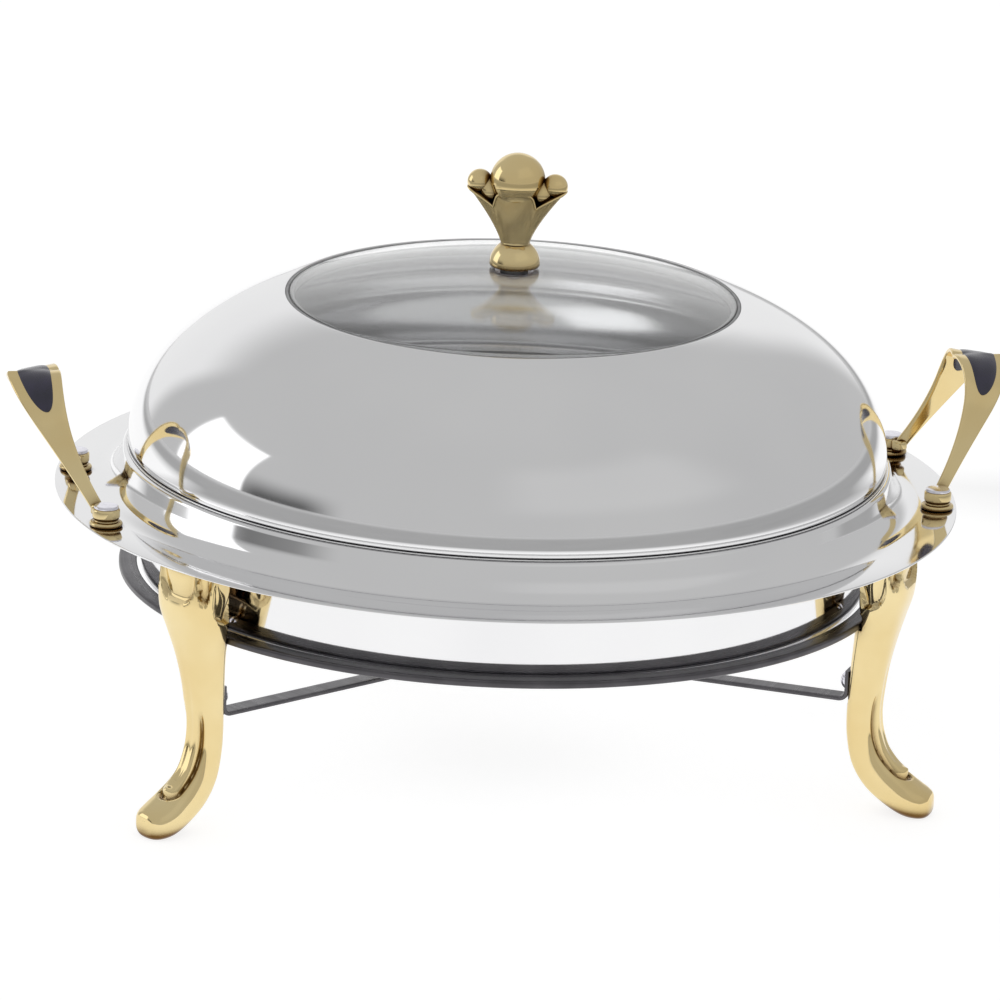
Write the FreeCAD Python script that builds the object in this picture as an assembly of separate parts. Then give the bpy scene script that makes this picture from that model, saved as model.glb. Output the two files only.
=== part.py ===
"""Round chafing dish on a three-legged stand, with a glass-topped lid and a fuel burner.

Every separate piece of the dish is one node, written to parts/NODE.step.
Units are millimetres. The origin is on the table, under the centre of the dish.
+Z is up, the two handles point along -X and +X, and one of the three legs points along +Y.
"""
import FreeCAD, Part
import math
import os

V = FreeCAD.Vector
UP = V(0, 0, 1)
CENTRE = V(0, 0, 0)

# ---- driving dimensions ----------------------------------------------------------------

LEG_ANGLES = {"left": 210, "right": 330, "back": 90}

# Pans
PAN_SHEET = 1.0
FLANGE_RADIUS = 225.0
FLANGE_MID_Z = 139.5
SHOULDER_FOOT_RADIUS = 194.5
PAN_LIP_Z = 158.8
PAN_LIP_RADII = (184.5, 190.8)
PAN_FLOOR_RADIUS = 180.5
PAN_FLOOR_Z = 92.5
PAN_CORNER_RADII = (9.0, 2.0, 2.0, 15.0)
FOOD_SHEET = 0.8
FOOD_FLOOR_Z = 103.5
FOOD_FLOOR_RADIUS = 172.0
FOOD_WALL_TOP_RADIUS = 180.0
FOOD_RIM_RADIUS = 189.5
FOOD_CORNER_RADII = (9.0, 2.0)

# Lid
LID_SHEET = 1.0
LID_RADIUS = 189.3
LID_BASE_Z = 161.0
LID_SKIN_FOOT_Z = 162.4
LID_CROWN_HEIGHT = 93.4
LID_FULLNESS = 2.2
LID_CURVE_STEPS = 14
LID_HEM_RADII = (184.5, 188.6)
LID_HEM_HEIGHT = 4.0
LID_HEM_ROUNDING = 1.0
WINDOW_EDGE_RADIUS = 114.0
WINDOW_LIP_DEPTH = 4.5
GLASS_RADIUS = 111.4
GLASS_THICKNESS = 3.5
GLASS_RISE = 16.0
GLASS_SINK = 0.4
GLASS_HOLE_RADIUS = 4.2
SEAL_OVERLAP = 3.4
SEAL_THICKNESS = 2.4
SEAL_STAND = 0.2
SEAL_GLASS_GAP = 0.1
RETAINER_OVERLAP = 4.4
RETAINER_COLLAR_DROP = 2.4

# Knob: the sections of its flare are half width, half depth and height above the base
KNOB_BALL_RADIUS = 12.6
KNOB_BALL_Z = 1.0
KNOB_FLARE_SECTIONS = ((7.0, 6.9, 11.0), (10.7, 8.2, 19.6), (17.0, 10.2, 29.0), (24.5, 11.5, 38.4))
KNOB_CROWN_BALL = (13.8, 43.4)
KNOB_SIDE_BALL = (6.3, 18.8, 41.5)
KNOB_TURN = -20.0
KNOB_BORE_DEPTH = 16.0
KNOB_SCREW_RADIUS = 3.0
KNOB_SCREW_REACH = 14.0
KNOB_SCREW_HEAD = (6.0, 3.2)
SOFT_WASHER = (7.0, 0.8)
SOFT_WASHER_GLASS_GAP = 0.02
KNOB_WASHER = (9.5, 1.0)

# Handles
HANDLE_FOOT_X = 209.5
HANDLE_FOOT_Y = 49.5
HANDLE_FOOT_PLATE = (8.2, 4.0)
HANDLE_FOOT_ROUNDING = 1.5
HANDLE_FOOT_DISC = (6.8, 5.0)
HANDLE_HOLE_RADIUS = 2.2
HANDLE_SCREW_HEAD = (6.2, 1.4)
HANDLE_SCREW_HEAD_SPACE = 4.0
HANDLE_SCREW_RADIUS = 2.0
HANDLE_SCREW_REACH = 5.0
HANDLE_NUT = (4.4, 3.2)
HANDLE_LUG_PLACE = (212.0, 42.3)
HANDLE_LUG_RADIUS = 4.0
HANDLE_STRAP_FOOT = 2.0
HANDLE_APEX = (239.5, 204.3)
HANDLE_LEAN_EASING = 1.3
HANDLE_BOW_RADIUS = 30.0
HANDLE_LEG_STATIONS = 6
HANDLE_BOW_STATIONS = 14
HANDLE_STRAP = 2.2
HANDLE_WIDTHS = (6.0, 26.0)
HANDLE_WIDTH_EASING = 2.0
GRIP_THICKNESS = 0.7
GRIP_GAP = 0.12
GRIP_WIDTH_RATIO = 0.62
GRIP_START_ANGLE = 32.0

# Stand: a leg points along +X, and its sections run from the top down and out along the toe,
# each with the radius and height of its middle, its tilt in degrees, its depth and its width
LEG_SECTIONS = [
    (199.5, 139.0, 0, 24.0, 40.0),
    (200.0, 126.0, 0, 25.0, 42.0),
    (200.0, 112.0, 0, 24.0, 40.5),
    (197.6, 100.0, 0, 22.4, 34.0),
    (195.4, 88.0, 0, 20.3, 26.5),
    (193.3, 74.0, 0, 18.4, 21.5),
    (192.0, 60.0, 0, 17.4, 18.6),
    (191.4, 48.0, 0, 17.0, 17.4),
    (192.2, 38.0, 12, 17.4, 17.4),
    (195.2, 27.6, 30, 18.8, 18.4),
    (201.2, 19.2, 47, 19.4, 20.2),
    (209.6, 12.6, 60, 18.6, 22.0),
    (217.6, 8.2, 72, 17.4, 23.0),
    (224.2, 6.4, 84, 14.8, 20.0),
    (227.6, 6.4, 90, 11.0, 13.0),
    (228.6, 6.6, 90, 4.0, 5.0),
]
LEG_SQUARENESS = 2.6
LEG_OUTLINE_STEPS = 16
LEG_NOTCH_CLEARANCE = 0.2
LEG_NOTCH_SHOULDER = (187.5, 103.0)
LEG_NOTCH_TOP_Z = 116.0
LEG_SEAT_CLEARANCE = 0.6
RING_RADII = (183.0, 192.0)
RING_Z = (96.0, 100.0)
RING_ROUNDING = 1.2
RING_SCREW_PLACE = 189.0
RING_SCREW_HEAD = (2.7, 1.6)
RING_SCREW_RADIUS = 1.45
RING_SCREW_DEPTH = 8.0
RING_HOLE_RADIUS = 1.6
RING_THREAD_RADIUS = 1.5
BAR_WIDTH = 10.5
BAR_THICKNESS = 2.2
BAR_BEND_RADIUS = 4.0
BAR_MID_Z = 56.0
BAR_TAB_TOP_Z = 71.0
BAR_SEAT_RADIUS = 184.0
BAR_HOLE_RADIUS = 2.7
BRACE_SCREW_Z = 65.0
BRACE_SCREW_HEAD = (4.8, 3.4)
BRACE_SCREW_RADIUS = 2.45
BRACE_SCREW_LENGTH = 13.5
BRACE_THREAD_RADIUS = 2.5
HOLDER_SHEET = 1.0
HOLDER_HOLE_RADIUS = 8.0
HOLDER_WALL_RADIUS = 37.0
HOLDER_RIM_RADIUS = 50.0
HOLDER_DEPTH = 10.0
HOLDER_CORNER_RADII = (2.0, 1.5)
HOLDER_BAR_GAP = 1.5
RIVET_PLACE = 44.5
RIVET_HEAD = (3.6, 1.5)
RIVET_RADIUS = 2.05
RIVET_HOLE_RADIUS = 2.1

# Burner
CUP_RADIUS = 34.5
CUP_HEIGHT = 18.7
CUP_SHEET = 0.8
CUP_CORNER_RADIUS = 2.0
WICK_HEIGHT = 11.0
WICK_ROUNDING = 2.0
BURNER_SKIRT = 6.0
BURNER_SKIRT_CORNER = 0.6
FLAME_HOLE_RADIUS = 16.0
COVER_RADIUS = 19.0
COVER_SHEET = 1.2
COVER_EAR_RADIUS = 6.0
COVER_ARM_WIDTH = 8.0
COVER_TAB_HEIGHT = 7.0
COVER_TAB_REACH = 41.0
COVER_PIVOT_PLACE = (0.0, 27.0)
COVER_PIVOT_RADIUS = 1.95
COVER_PIVOT_HOLE_RADIUS = 2.0
COVER_PIVOT_FOOT = (3.4, 1.2)
COVER_PIVOT_HEAD = (3.6, 1.1)

RUNNING_FIT = 0.05
ASSEMBLY_GAP = 0.3
# How far a cutting tool runs past the faces it cuts, and a joined piece into its neighbour
CUT_PAST = 1.0
OVERLAP = 0.5


# ---- small geometry helpers ------------------------------------------------------------

def at(radius, z):
    """A point in the XZ half-plane that every turned piece is drawn in."""
    return V(radius, 0, z)


def turned(edges):
    """Solid of revolution about Z, from the edges of a closed outline."""
    face = Part.Face(Part.Wire(edges))
    return face.revolve(CENTRE, UP, 360)


def polygon(points):
    """Straight edges of a closed outline."""
    closed = list(points) + [points[0]]
    return [Part.makeLine(a, b) for a, b in zip(closed, closed[1:])]


def tube(inner, outer, low, high):
    """Flat-ended ring between two radii and two heights."""
    return turned(polygon([at(inner, low), at(outer, low), at(outer, high), at(inner, high)]))


def disc(radius, low, high, centre=(0, 0)):
    """Upright cylinder."""
    return Part.makeCylinder(radius, high - low, V(centre[0], centre[1], low), UP)


def offset_path(points, radii, shift):
    """Edges of a path of straight runs and tangent arcs, shifted sideways by a distance.

    The path is given by its corner points and the radius of the arc at each inner corner.
    A positive shift moves it to the left of its direction of travel.
    """
    runs = [(b - a).normalize() for a, b in zip(points, points[1:])]
    sides = [V(-run.z, 0, run.x) for run in runs]
    corners = [points[0] + sides[0] * shift]
    for before, after, point in zip(sides, sides[1:], points[1:]):
        corners.append(point + (before + after) * (shift / (1 + before.dot(after))))
    corners.append(points[-1] + sides[-1] * shift)
    edges = []
    start = corners[0]
    for index, radius in enumerate(radii):
        before = runs[index]
        after = runs[index + 1]
        turn = before.getAngle(after)
        turns_left = before.z * after.x - before.x * after.z < 0
        arc_radius = radius - shift if turns_left else radius + shift
        reach = arc_radius * math.tan(turn / 2)
        corner = corners[index + 1]
        arc_start = corner - before * reach
        arc_end = corner + after * reach
        inward = (after - before).normalize()
        to_middle = arc_radius * (1 / math.cos(turn / 2) - 1)
        edges.append(Part.makeLine(start, arc_start))
        edges.append(Part.Arc(arc_start, corner + inward * to_middle, arc_end).toShape())
        start = arc_end
    edges.append(Part.makeLine(start, corners[-1]))
    return edges


def pressed_sheet(points, radii, thickness):
    """Turned sheet-metal shell of even thickness about a path of runs and arcs."""
    left = offset_path(points, radii, thickness / 2)
    right = offset_path(points, radii, -thickness / 2)
    start_left = left[0].Vertexes[0].Point
    start_right = right[0].Vertexes[0].Point
    end_left = left[-1].Vertexes[-1].Point
    end_right = right[-1].Vertexes[-1].Point
    caps = [Part.makeLine(end_left, end_right), Part.makeLine(start_right, start_left)]
    return turned(Part.__sortEdges__(left + right + caps))


def joined(shapes):
    """One solid from several that overlap."""
    result = shapes[0].multiFuse(shapes[1:])
    return result.removeSplitter()


def group(shapes):
    """Separate solids that share one node."""
    return Part.makeCompound(shapes)


def around(shape, angle):
    """A copy turned about the dish's axis."""
    copy = shape.copy()
    copy.rotate(CENTRE, UP, angle)
    return copy


def polar(radius, angle):
    """X and Y of a point at a radius and an angle in degrees."""
    return (radius * math.cos(math.radians(angle)), radius * math.sin(math.radians(angle)))


def domed_head(radius, height):
    """Round screw head, standing on z = 0 at the origin."""
    ball_radius = (radius ** 2 + height ** 2) / (2 * height)
    ball = Part.makeSphere(ball_radius, V(0, 0, height - ball_radius))
    return ball.common(disc(radius, 0, height))


# ---- pans ------------------------------------------------------------------------------

def handle_foot_places(side):
    """Centres of the two handle feet on one side of the dish."""
    return [(side * HANDLE_FOOT_X, y) for y in (-HANDLE_FOOT_Y, HANDLE_FOOT_Y)]


def all_handle_feet():
    return handle_foot_places(-1) + handle_foot_places(1)


def make_water_pan():
    points = [
        at(0, PAN_FLOOR_Z),
        at(PAN_FLOOR_RADIUS, PAN_FLOOR_Z),
        at(PAN_LIP_RADII[0], PAN_LIP_Z),
        at(PAN_LIP_RADII[1], PAN_LIP_Z),
        at(SHOULDER_FOOT_RADIUS, FLANGE_MID_Z),
        at(FLANGE_RADIUS, FLANGE_MID_Z),
    ]
    pan = pressed_sheet(points, PAN_CORNER_RADII, PAN_SHEET)
    for place in all_handle_feet():
        hole = disc(HANDLE_HOLE_RADIUS, FLANGE_MID_Z - PAN_SHEET, FLANGE_MID_Z + PAN_SHEET, place)
        pan = pan.cut(hole)
    return pan


def make_food_pan():
    rim_z = PAN_LIP_Z + PAN_SHEET / 2 + FOOD_SHEET / 2
    points = [
        at(0, FOOD_FLOOR_Z),
        at(FOOD_FLOOR_RADIUS, FOOD_FLOOR_Z),
        at(FOOD_WALL_TOP_RADIUS, rim_z),
        at(FOOD_RIM_RADIUS, rim_z),
    ]
    return pressed_sheet(points, FOOD_CORNER_RADII, FOOD_SHEET)


# ---- lid -------------------------------------------------------------------------------

def lid_height(radius, inset=0.0):
    """Height of the lid's shell at a radius, or of its inner skin with an inset."""
    share = (radius / (LID_RADIUS - inset)) ** LID_FULLNESS
    crown = LID_CROWN_HEIGHT - inset
    return LID_BASE_Z + crown * (1 - share) ** (1 / LID_FULLNESS)


def lid_curve(inset):
    """Smooth profile of one skin of the lid, from its lower edge up to the window."""
    crown = LID_CROWN_HEIGHT - inset
    low = math.asin(((LID_SKIN_FOOT_Z - LID_BASE_Z) / crown) ** (LID_FULLNESS / 2))
    high = math.acos((WINDOW_EDGE_RADIUS / (LID_RADIUS - inset)) ** (LID_FULLNESS / 2))
    points = []
    for step in range(LID_CURVE_STEPS + 1):
        t = low + (high - low) * step / LID_CURVE_STEPS
        radius = (LID_RADIUS - inset) * math.cos(t) ** (2 / LID_FULLNESS)
        height = LID_BASE_Z + crown * math.sin(t) ** (2 / LID_FULLNESS)
        points.append(at(radius, height))
    curve = Part.BSplineCurve()
    curve.interpolate(points)
    return curve.toShape()


def make_lid_shell():
    outer = lid_curve(0)
    inner = lid_curve(LID_SHEET)
    caps = [
        Part.makeLine(outer.Vertexes[0].Point, inner.Vertexes[0].Point),
        Part.makeLine(outer.Vertexes[-1].Point, inner.Vertexes[-1].Point),
    ]
    shell = turned(Part.__sortEdges__([outer, inner] + caps))
    window_z = lid_height(WINDOW_EDGE_RADIUS)
    lip_inner = WINDOW_EDGE_RADIUS - LID_SHEET
    lip = tube(lip_inner, WINDOW_EDGE_RADIUS, window_z - WINDOW_LIP_DEPTH, window_z - GLASS_SINK / 2)
    inner_radius, outer_radius = LID_HEM_RADII
    hem = tube(inner_radius, outer_radius, hem_z(), hem_z() + LID_HEM_HEIGHT)
    circles = [edge for edge in hem.Edges if edge.Closed]
    lower = [edge for edge in circles if edge.Curve.Center.z < hem_z() + LID_HEM_ROUNDING]
    hem = hem.makeFillet(LID_HEM_ROUNDING, lower)
    return joined([shell, lip, hem])


def hem_z():
    """Height that the lid's hem stands at: the top of the food pan's rim."""
    return PAN_LIP_Z + PAN_SHEET / 2 + FOOD_SHEET


def glass_ball_radius():
    return (GLASS_RADIUS ** 2 + GLASS_RISE ** 2) / (2 * GLASS_RISE)


def glass_rim_z():
    """Height of the glass's upper edge, just under the shell around it."""
    return lid_height(WINDOW_EDGE_RADIUS) - GLASS_SINK


def glass_top_z():
    return glass_rim_z() + GLASS_RISE


def glass_underside(radius):
    """Height of the underside of the glass at a radius."""
    ball = glass_ball_radius()
    centre_z = glass_top_z() - ball
    return centre_z + math.sqrt((ball - GLASS_THICKNESS) ** 2 - radius ** 2)


def make_window_glass():
    ball = glass_ball_radius()
    centre = V(0, 0, glass_top_z() - ball)
    dome = Part.makeSphere(ball, centre).cut(Part.makeSphere(ball - GLASS_THICKNESS, centre))
    rim_low = glass_underside(GLASS_RADIUS)
    column = tube(GLASS_HOLE_RADIUS, GLASS_RADIUS, rim_low - CUT_PAST, glass_top_z() + CUT_PAST)
    return dome.common(column)


def make_window_seal():
    lip_radius = WINDOW_EDGE_RADIUS - LID_SHEET - RUNNING_FIT
    inner = GLASS_RADIUS - SEAL_OVERLAP
    edge = GLASS_RADIUS + RUNNING_FIT
    floor = retainer_top_z() + RUNNING_FIT
    top = glass_rim_z() + SEAL_STAND
    points = [
        at(inner, floor),
        at(lip_radius, floor),
        at(lip_radius, top),
        at(edge, top),
        at(edge, glass_underside(edge) - SEAL_GLASS_GAP),
        at(inner, glass_underside(inner) - SEAL_GLASS_GAP),
    ]
    return turned(polygon(points))


def retainer_top_z():
    return glass_underside(GLASS_RADIUS) - SEAL_THICKNESS


def make_window_retainer():
    top = retainer_top_z()
    outer = WINDOW_EDGE_RADIUS + RUNNING_FIT
    flange = tube(GLASS_RADIUS - RETAINER_OVERLAP, outer + LID_SHEET, top - LID_SHEET, top)
    collar_top = lid_height(WINDOW_EDGE_RADIUS) - RETAINER_COLLAR_DROP
    collar = tube(outer, outer + LID_SHEET, top - LID_SHEET, collar_top)
    return joined([flange, collar])


# ---- knob ------------------------------------------------------------------------------

def knob_base_z():
    return glass_top_z() + SOFT_WASHER[1]


def ellipse_wire(half_x, half_y, z):
    """Level ellipse about the dish's axis. half_x must not be the shorter half."""
    return Part.Wire(Part.Ellipse(V(0, 0, z), half_x, half_y).toShape())


def make_lid_knob():
    base = knob_base_z()
    ball = Part.makeSphere(KNOB_BALL_RADIUS, V(0, 0, base + KNOB_BALL_Z))
    ball = ball.common(disc(KNOB_BALL_RADIUS, base, base + 2 * KNOB_BALL_RADIUS))
    sections = [ellipse_wire(half_x, half_y, base + z) for half_x, half_y, z in KNOB_FLARE_SECTIONS]
    flare = Part.makeLoft(sections, True, False)
    crown_radius, crown_z = KNOB_CROWN_BALL
    crown = Part.makeSphere(crown_radius, V(0, 0, base + crown_z))
    side_radius, side_x, side_z = KNOB_SIDE_BALL
    sides = [Part.makeSphere(side_radius, V(x, 0, base + side_z)) for x in (-side_x, side_x)]
    knob = joined([ball, flare, crown] + sides)
    knob = knob.cut(disc(KNOB_SCREW_RADIUS + RUNNING_FIT, base - CUT_PAST, base + KNOB_BORE_DEPTH))
    return around(knob, KNOB_TURN)


def soft_washer_top_z():
    """Height of the upper face of the soft washer under the glass."""
    return glass_underside(SOFT_WASHER[0]) - SOFT_WASHER_GLASS_GAP


def make_knob_seals():
    """Soft washers above and below the glass."""
    radius, thickness = SOFT_WASHER
    bore = KNOB_SCREW_RADIUS + RUNNING_FIT
    top = glass_top_z()
    under = soft_washer_top_z()
    return group([tube(bore, radius, top, top + thickness), tube(bore, radius, under - thickness, under)])


def knob_washer_top_z():
    return soft_washer_top_z() - SOFT_WASHER[1]


def make_knob_washer():
    radius, thickness = KNOB_WASHER
    top = knob_washer_top_z()
    return tube(KNOB_SCREW_RADIUS + RUNNING_FIT, radius, top - thickness, top)


def make_knob_screw():
    under_head = knob_washer_top_z() - KNOB_WASHER[1]
    head = domed_head(*KNOB_SCREW_HEAD)
    head.rotate(CENTRE, V(1, 0, 0), 180)
    head.translate(V(0, 0, under_head))
    shank = disc(KNOB_SCREW_RADIUS, under_head - OVERLAP, knob_base_z() + KNOB_SCREW_REACH)
    return joined([head, shank])


# ---- handles ---------------------------------------------------------------------------

def foot_plate_top_z():
    return FLANGE_MID_Z + PAN_SHEET / 2 + HANDLE_FOOT_PLATE[1]


def strap_foot_z():
    return foot_plate_top_z() + HANDLE_STRAP_FOOT


def bow_height():
    return HANDLE_APEX[1] - strap_foot_z()


def lean_point(share):
    """Point over the middle of the handle at +X, at a share of the bow's height.

    The handle leans outward from its feet and stands up straighter towards its apex.
    """
    foot_x = HANDLE_LUG_PLACE[0]
    reach = HANDLE_APEX[0] - foot_x
    left = max(1 - share, 0)
    return V(foot_x + reach * (1 - left ** HANDLE_LEAN_EASING), 0, strap_foot_z() + bow_height() * share)


def lean_direction(share):
    """Upward direction along the leaning handle at a share of its height."""
    reach = HANDLE_APEX[0] - HANDLE_LUG_PLACE[0]
    left = max(1 - share, 0)
    slope = reach * HANDLE_LEAN_EASING * left ** (HANDLE_LEAN_EASING - 1)
    return V(slope, 0, bow_height()).normalize()


def bow_tangent():
    """Height of the bow's centre, and the angle at which its arc meets the straight part."""
    centre = bow_height() - HANDLE_BOW_RADIUS
    reach = math.hypot(HANDLE_LUG_PLACE[1], centre)
    return centre, math.acos(HANDLE_BOW_RADIUS / reach) - math.atan2(centre, HANDLE_LUG_PLACE[1])


def arc_stations(start_angle):
    """Stations over the bow's arc, from an angle up to the apex.

    Each is the distance from the middle plane, the height above the strap's feet,
    the angle of the strap's outward face and the height's share of the whole height.
    """
    centre = bow_tangent()[0]
    stations = []
    for step in range(HANDLE_BOW_STATIONS + 1):
        angle = start_angle + (math.pi / 2 - start_angle) * step / HANDLE_BOW_STATIONS
        rise = centre + HANDLE_BOW_RADIUS * math.sin(angle)
        share = rise / (centre + HANDLE_BOW_RADIUS)
        stations.append((HANDLE_BOW_RADIUS * math.cos(angle), rise, angle, share))
    return stations


def strap_stations():
    """Stations along half of the handle, from one foot to the apex."""
    angle = bow_tangent()[1]
    arc = arc_stations(angle)
    side, rise, _, share = arc[0]
    stations = []
    for step in range(HANDLE_LEG_STATIONS):
        part = step / HANDLE_LEG_STATIONS
        foot_side = HANDLE_LUG_PLACE[1]
        stations.append((foot_side + (side - foot_side) * part, rise * part, angle, share * part))
    return stations + arc


def both_halves(stations):
    """The same stations followed by their mirror image, past the apex."""
    mirrored = [(-s, h, math.pi - a, share) for s, h, a, share in reversed(stations[:-1])]
    return stations + mirrored


def strap_width(share):
    foot_width, apex_width = HANDLE_WIDTHS
    return foot_width + (apex_width - foot_width) * share ** HANDLE_WIDTH_EASING


def bow_solid(stations, shift, thickness, width_ratio):
    """Loft of rectangles along the bow, at +X, shifted towards the strap's outward face."""
    sideways = V(0, 1, 0)
    wires = []
    for side, _, angle, share in stations:
        upward = lean_direction(share)
        across = V(upward.z, 0, -upward.x)
        outward = sideways * math.cos(angle) + upward * math.sin(angle)
        middle = lean_point(share) + sideways * side + outward * shift
        half_width = across * (strap_width(share) * width_ratio / 2)
        half_thick = outward * (thickness / 2)
        corners = [
            middle + half_width + half_thick,
            middle - half_width + half_thick,
            middle - half_width - half_thick,
            middle + half_width - half_thick,
        ]
        wires.append(Part.Wire(polygon(corners)))
    return Part.makeLoft(wires, True, False)


def on_side(shape, side):
    """A piece made at +X, turned round to -X for the left side."""
    return shape if side > 0 else around(shape, 180)


def make_handle(side):
    low = foot_plate_top_z()
    radius, height = HANDLE_FOOT_DISC
    high = low + height
    strap = bow_solid(both_halves(strap_stations()), 0, HANDLE_STRAP, 1)
    discs = [disc(radius, low, high, place) for place in handle_foot_places(1)]
    lug_x, lug_y = HANDLE_LUG_PLACE
    lugs = [disc(HANDLE_LUG_RADIUS, low, high, (lug_x, y)) for y in (-lug_y, lug_y)]
    handle = joined([strap] + discs + lugs)
    head_space_radius = HANDLE_SCREW_HEAD[0] + ASSEMBLY_GAP
    for place in handle_foot_places(1):
        handle = handle.cut(disc(HANDLE_HOLE_RADIUS, low - CUT_PAST, high + CUT_PAST, place))
        handle = handle.cut(disc(head_space_radius, high, high + HANDLE_SCREW_HEAD_SPACE, place))
    return on_side(handle, side)


def make_grip(side, face):
    """Inlaid pad over the bow, on its outward (+1) or inward (-1) face."""
    shift = face * ((HANDLE_STRAP + GRIP_THICKNESS) / 2 + GRIP_GAP)
    stations = both_halves(arc_stations(math.radians(GRIP_START_ANGLE)))
    return on_side(bow_solid(stations, shift, GRIP_THICKNESS, GRIP_WIDTH_RATIO), side)


def make_handle_feet():
    """Round plates between the flange and the handles."""
    low = FLANGE_MID_Z + PAN_SHEET / 2
    high = foot_plate_top_z()
    feet = []
    for place in all_handle_feet():
        foot = disc(HANDLE_FOOT_PLATE[0], low, high, place)
        foot = foot.makeFillet(HANDLE_FOOT_ROUNDING, [foot.Edges[0], foot.Edges[2]])
        feet.append(foot.cut(disc(HANDLE_HOLE_RADIUS, low - CUT_PAST, high + CUT_PAST, place)))
    return group(feet)


def make_handle_screws():
    head_z = foot_plate_top_z() + HANDLE_FOOT_DISC[1]
    tip_z = FLANGE_MID_Z - HANDLE_SCREW_REACH
    screws = []
    for place in all_handle_feet():
        head = domed_head(*HANDLE_SCREW_HEAD)
        head.translate(V(place[0], place[1], head_z))
        screws.append(joined([head, disc(HANDLE_SCREW_RADIUS, tip_z, head_z + OVERLAP, place)]))
    return group(screws)


def hexagon(radius, low, high, place):
    corners = [V(*polar(radius, 60 * k), low) + V(place[0], place[1], 0) for k in range(6)]
    return Part.Face(Part.Wire(polygon(corners))).extrude(V(0, 0, high - low))


def make_handle_nuts():
    radius, height = HANDLE_NUT
    high = FLANGE_MID_Z - PAN_SHEET / 2
    low = high - height
    bore = HANDLE_SCREW_RADIUS + RUNNING_FIT
    nuts = []
    for place in all_handle_feet():
        hole = disc(bore, low - CUT_PAST, high + CUT_PAST, place)
        nuts.append(hexagon(radius, low, high, place).cut(hole))
    return group(nuts)


# ---- stand -----------------------------------------------------------------------------

def leg_section(radius, z, tilt, depth, width):
    """Closed rounded outline across the leg."""
    outward = V(math.cos(math.radians(tilt)), 0, math.sin(math.radians(tilt)))
    middle = at(radius, z)
    points = []
    for step in range(LEG_OUTLINE_STEPS):
        angle = 2 * math.pi * step / LEG_OUTLINE_STEPS
        c = math.cos(angle)
        s = math.sin(angle)
        along = math.copysign(abs(c) ** (2 / LEG_SQUARENESS), c) * depth / 2
        across = math.copysign(abs(s) ** (2 / LEG_SQUARENESS), s) * width / 2
        points.append(middle + outward * along + V(0, across, 0))
    curve = Part.BSplineCurve()
    curve.interpolate(Points=points, PeriodicFlag=True)
    return Part.Wire(curve.toShape())


def leg_notch():
    """Space in a leg that the support ring lies in, with a sloping roof over it."""
    depth = RING_RADII[1] + LEG_NOTCH_CLEARANCE
    shoulder_radius, shoulder_z = LEG_NOTCH_SHOULDER
    inside = RING_RADII[0] / 2
    return turned(polygon([
        at(inside, RING_Z[0]),
        at(depth, RING_Z[0]),
        at(depth, shoulder_z),
        at(shoulder_radius, LEG_NOTCH_TOP_Z),
        at(inside, LEG_NOTCH_TOP_Z),
    ]))


def make_leg_blank():
    """Cast leg at +X, with its seats for the ring and the brace."""
    leg = Part.makeLoft([leg_section(*section) for section in LEG_SECTIONS], True, False)
    reach = FLANGE_RADIUS
    below_table = Part.makeBox(2 * reach, reach, reach, V(0, -reach / 2, -reach))
    leg = leg.cut(below_table)
    leg = leg.cut(leg_notch())
    tab_low = BAR_MID_Z - BAR_THICKNESS / 2 - LEG_SEAT_CLEARANCE
    tab_high = BAR_TAB_TOP_Z + LEG_SEAT_CLEARANCE
    seat = Part.makeBox(BAR_SEAT_RADIUS, reach, tab_high - tab_low, V(0, -reach / 2, tab_low))
    leg = leg.cut(seat)
    brace_start = V(BAR_SEAT_RADIUS - CUT_PAST, 0, BRACE_SCREW_Z)
    brace_depth = BRACE_SCREW_LENGTH - CUT_PAST
    brace_hole = Part.makeCylinder(BRACE_THREAD_RADIUS, brace_depth, brace_start, V(1, 0, 0))
    ring_place = (RING_SCREW_PLACE, 0)
    ring_hole_low = RING_Z[0] - RING_SCREW_DEPTH - LEG_NOTCH_CLEARANCE
    ring_hole = disc(RING_THREAD_RADIUS, ring_hole_low, RING_Z[0] + CUT_PAST, ring_place)
    return leg.cut(brace_hole).cut(ring_hole)


def make_support_ring():
    ring = tube(RING_RADII[0], RING_RADII[1], RING_Z[0], RING_Z[1])
    ring = ring.makeFillet(RING_ROUNDING, [edge for edge in ring.Edges if edge.Closed])
    for angle in LEG_ANGLES.values():
        place = polar(RING_SCREW_PLACE, angle)
        ring = ring.cut(disc(RING_HOLE_RADIUS, RING_Z[0] - CUT_PAST, RING_Z[1] + CUT_PAST, place))
    return ring


def make_ring_screws():
    screws = []
    for angle in LEG_ANGLES.values():
        place = polar(RING_SCREW_PLACE, angle)
        head = domed_head(*RING_SCREW_HEAD)
        head.translate(V(place[0], place[1], RING_Z[1]))
        shank = disc(RING_SCREW_RADIUS, RING_Z[0] - RING_SCREW_DEPTH, RING_Z[1] + OVERLAP, place)
        screws.append(joined([head, shank]))
    return group(screws)


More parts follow.
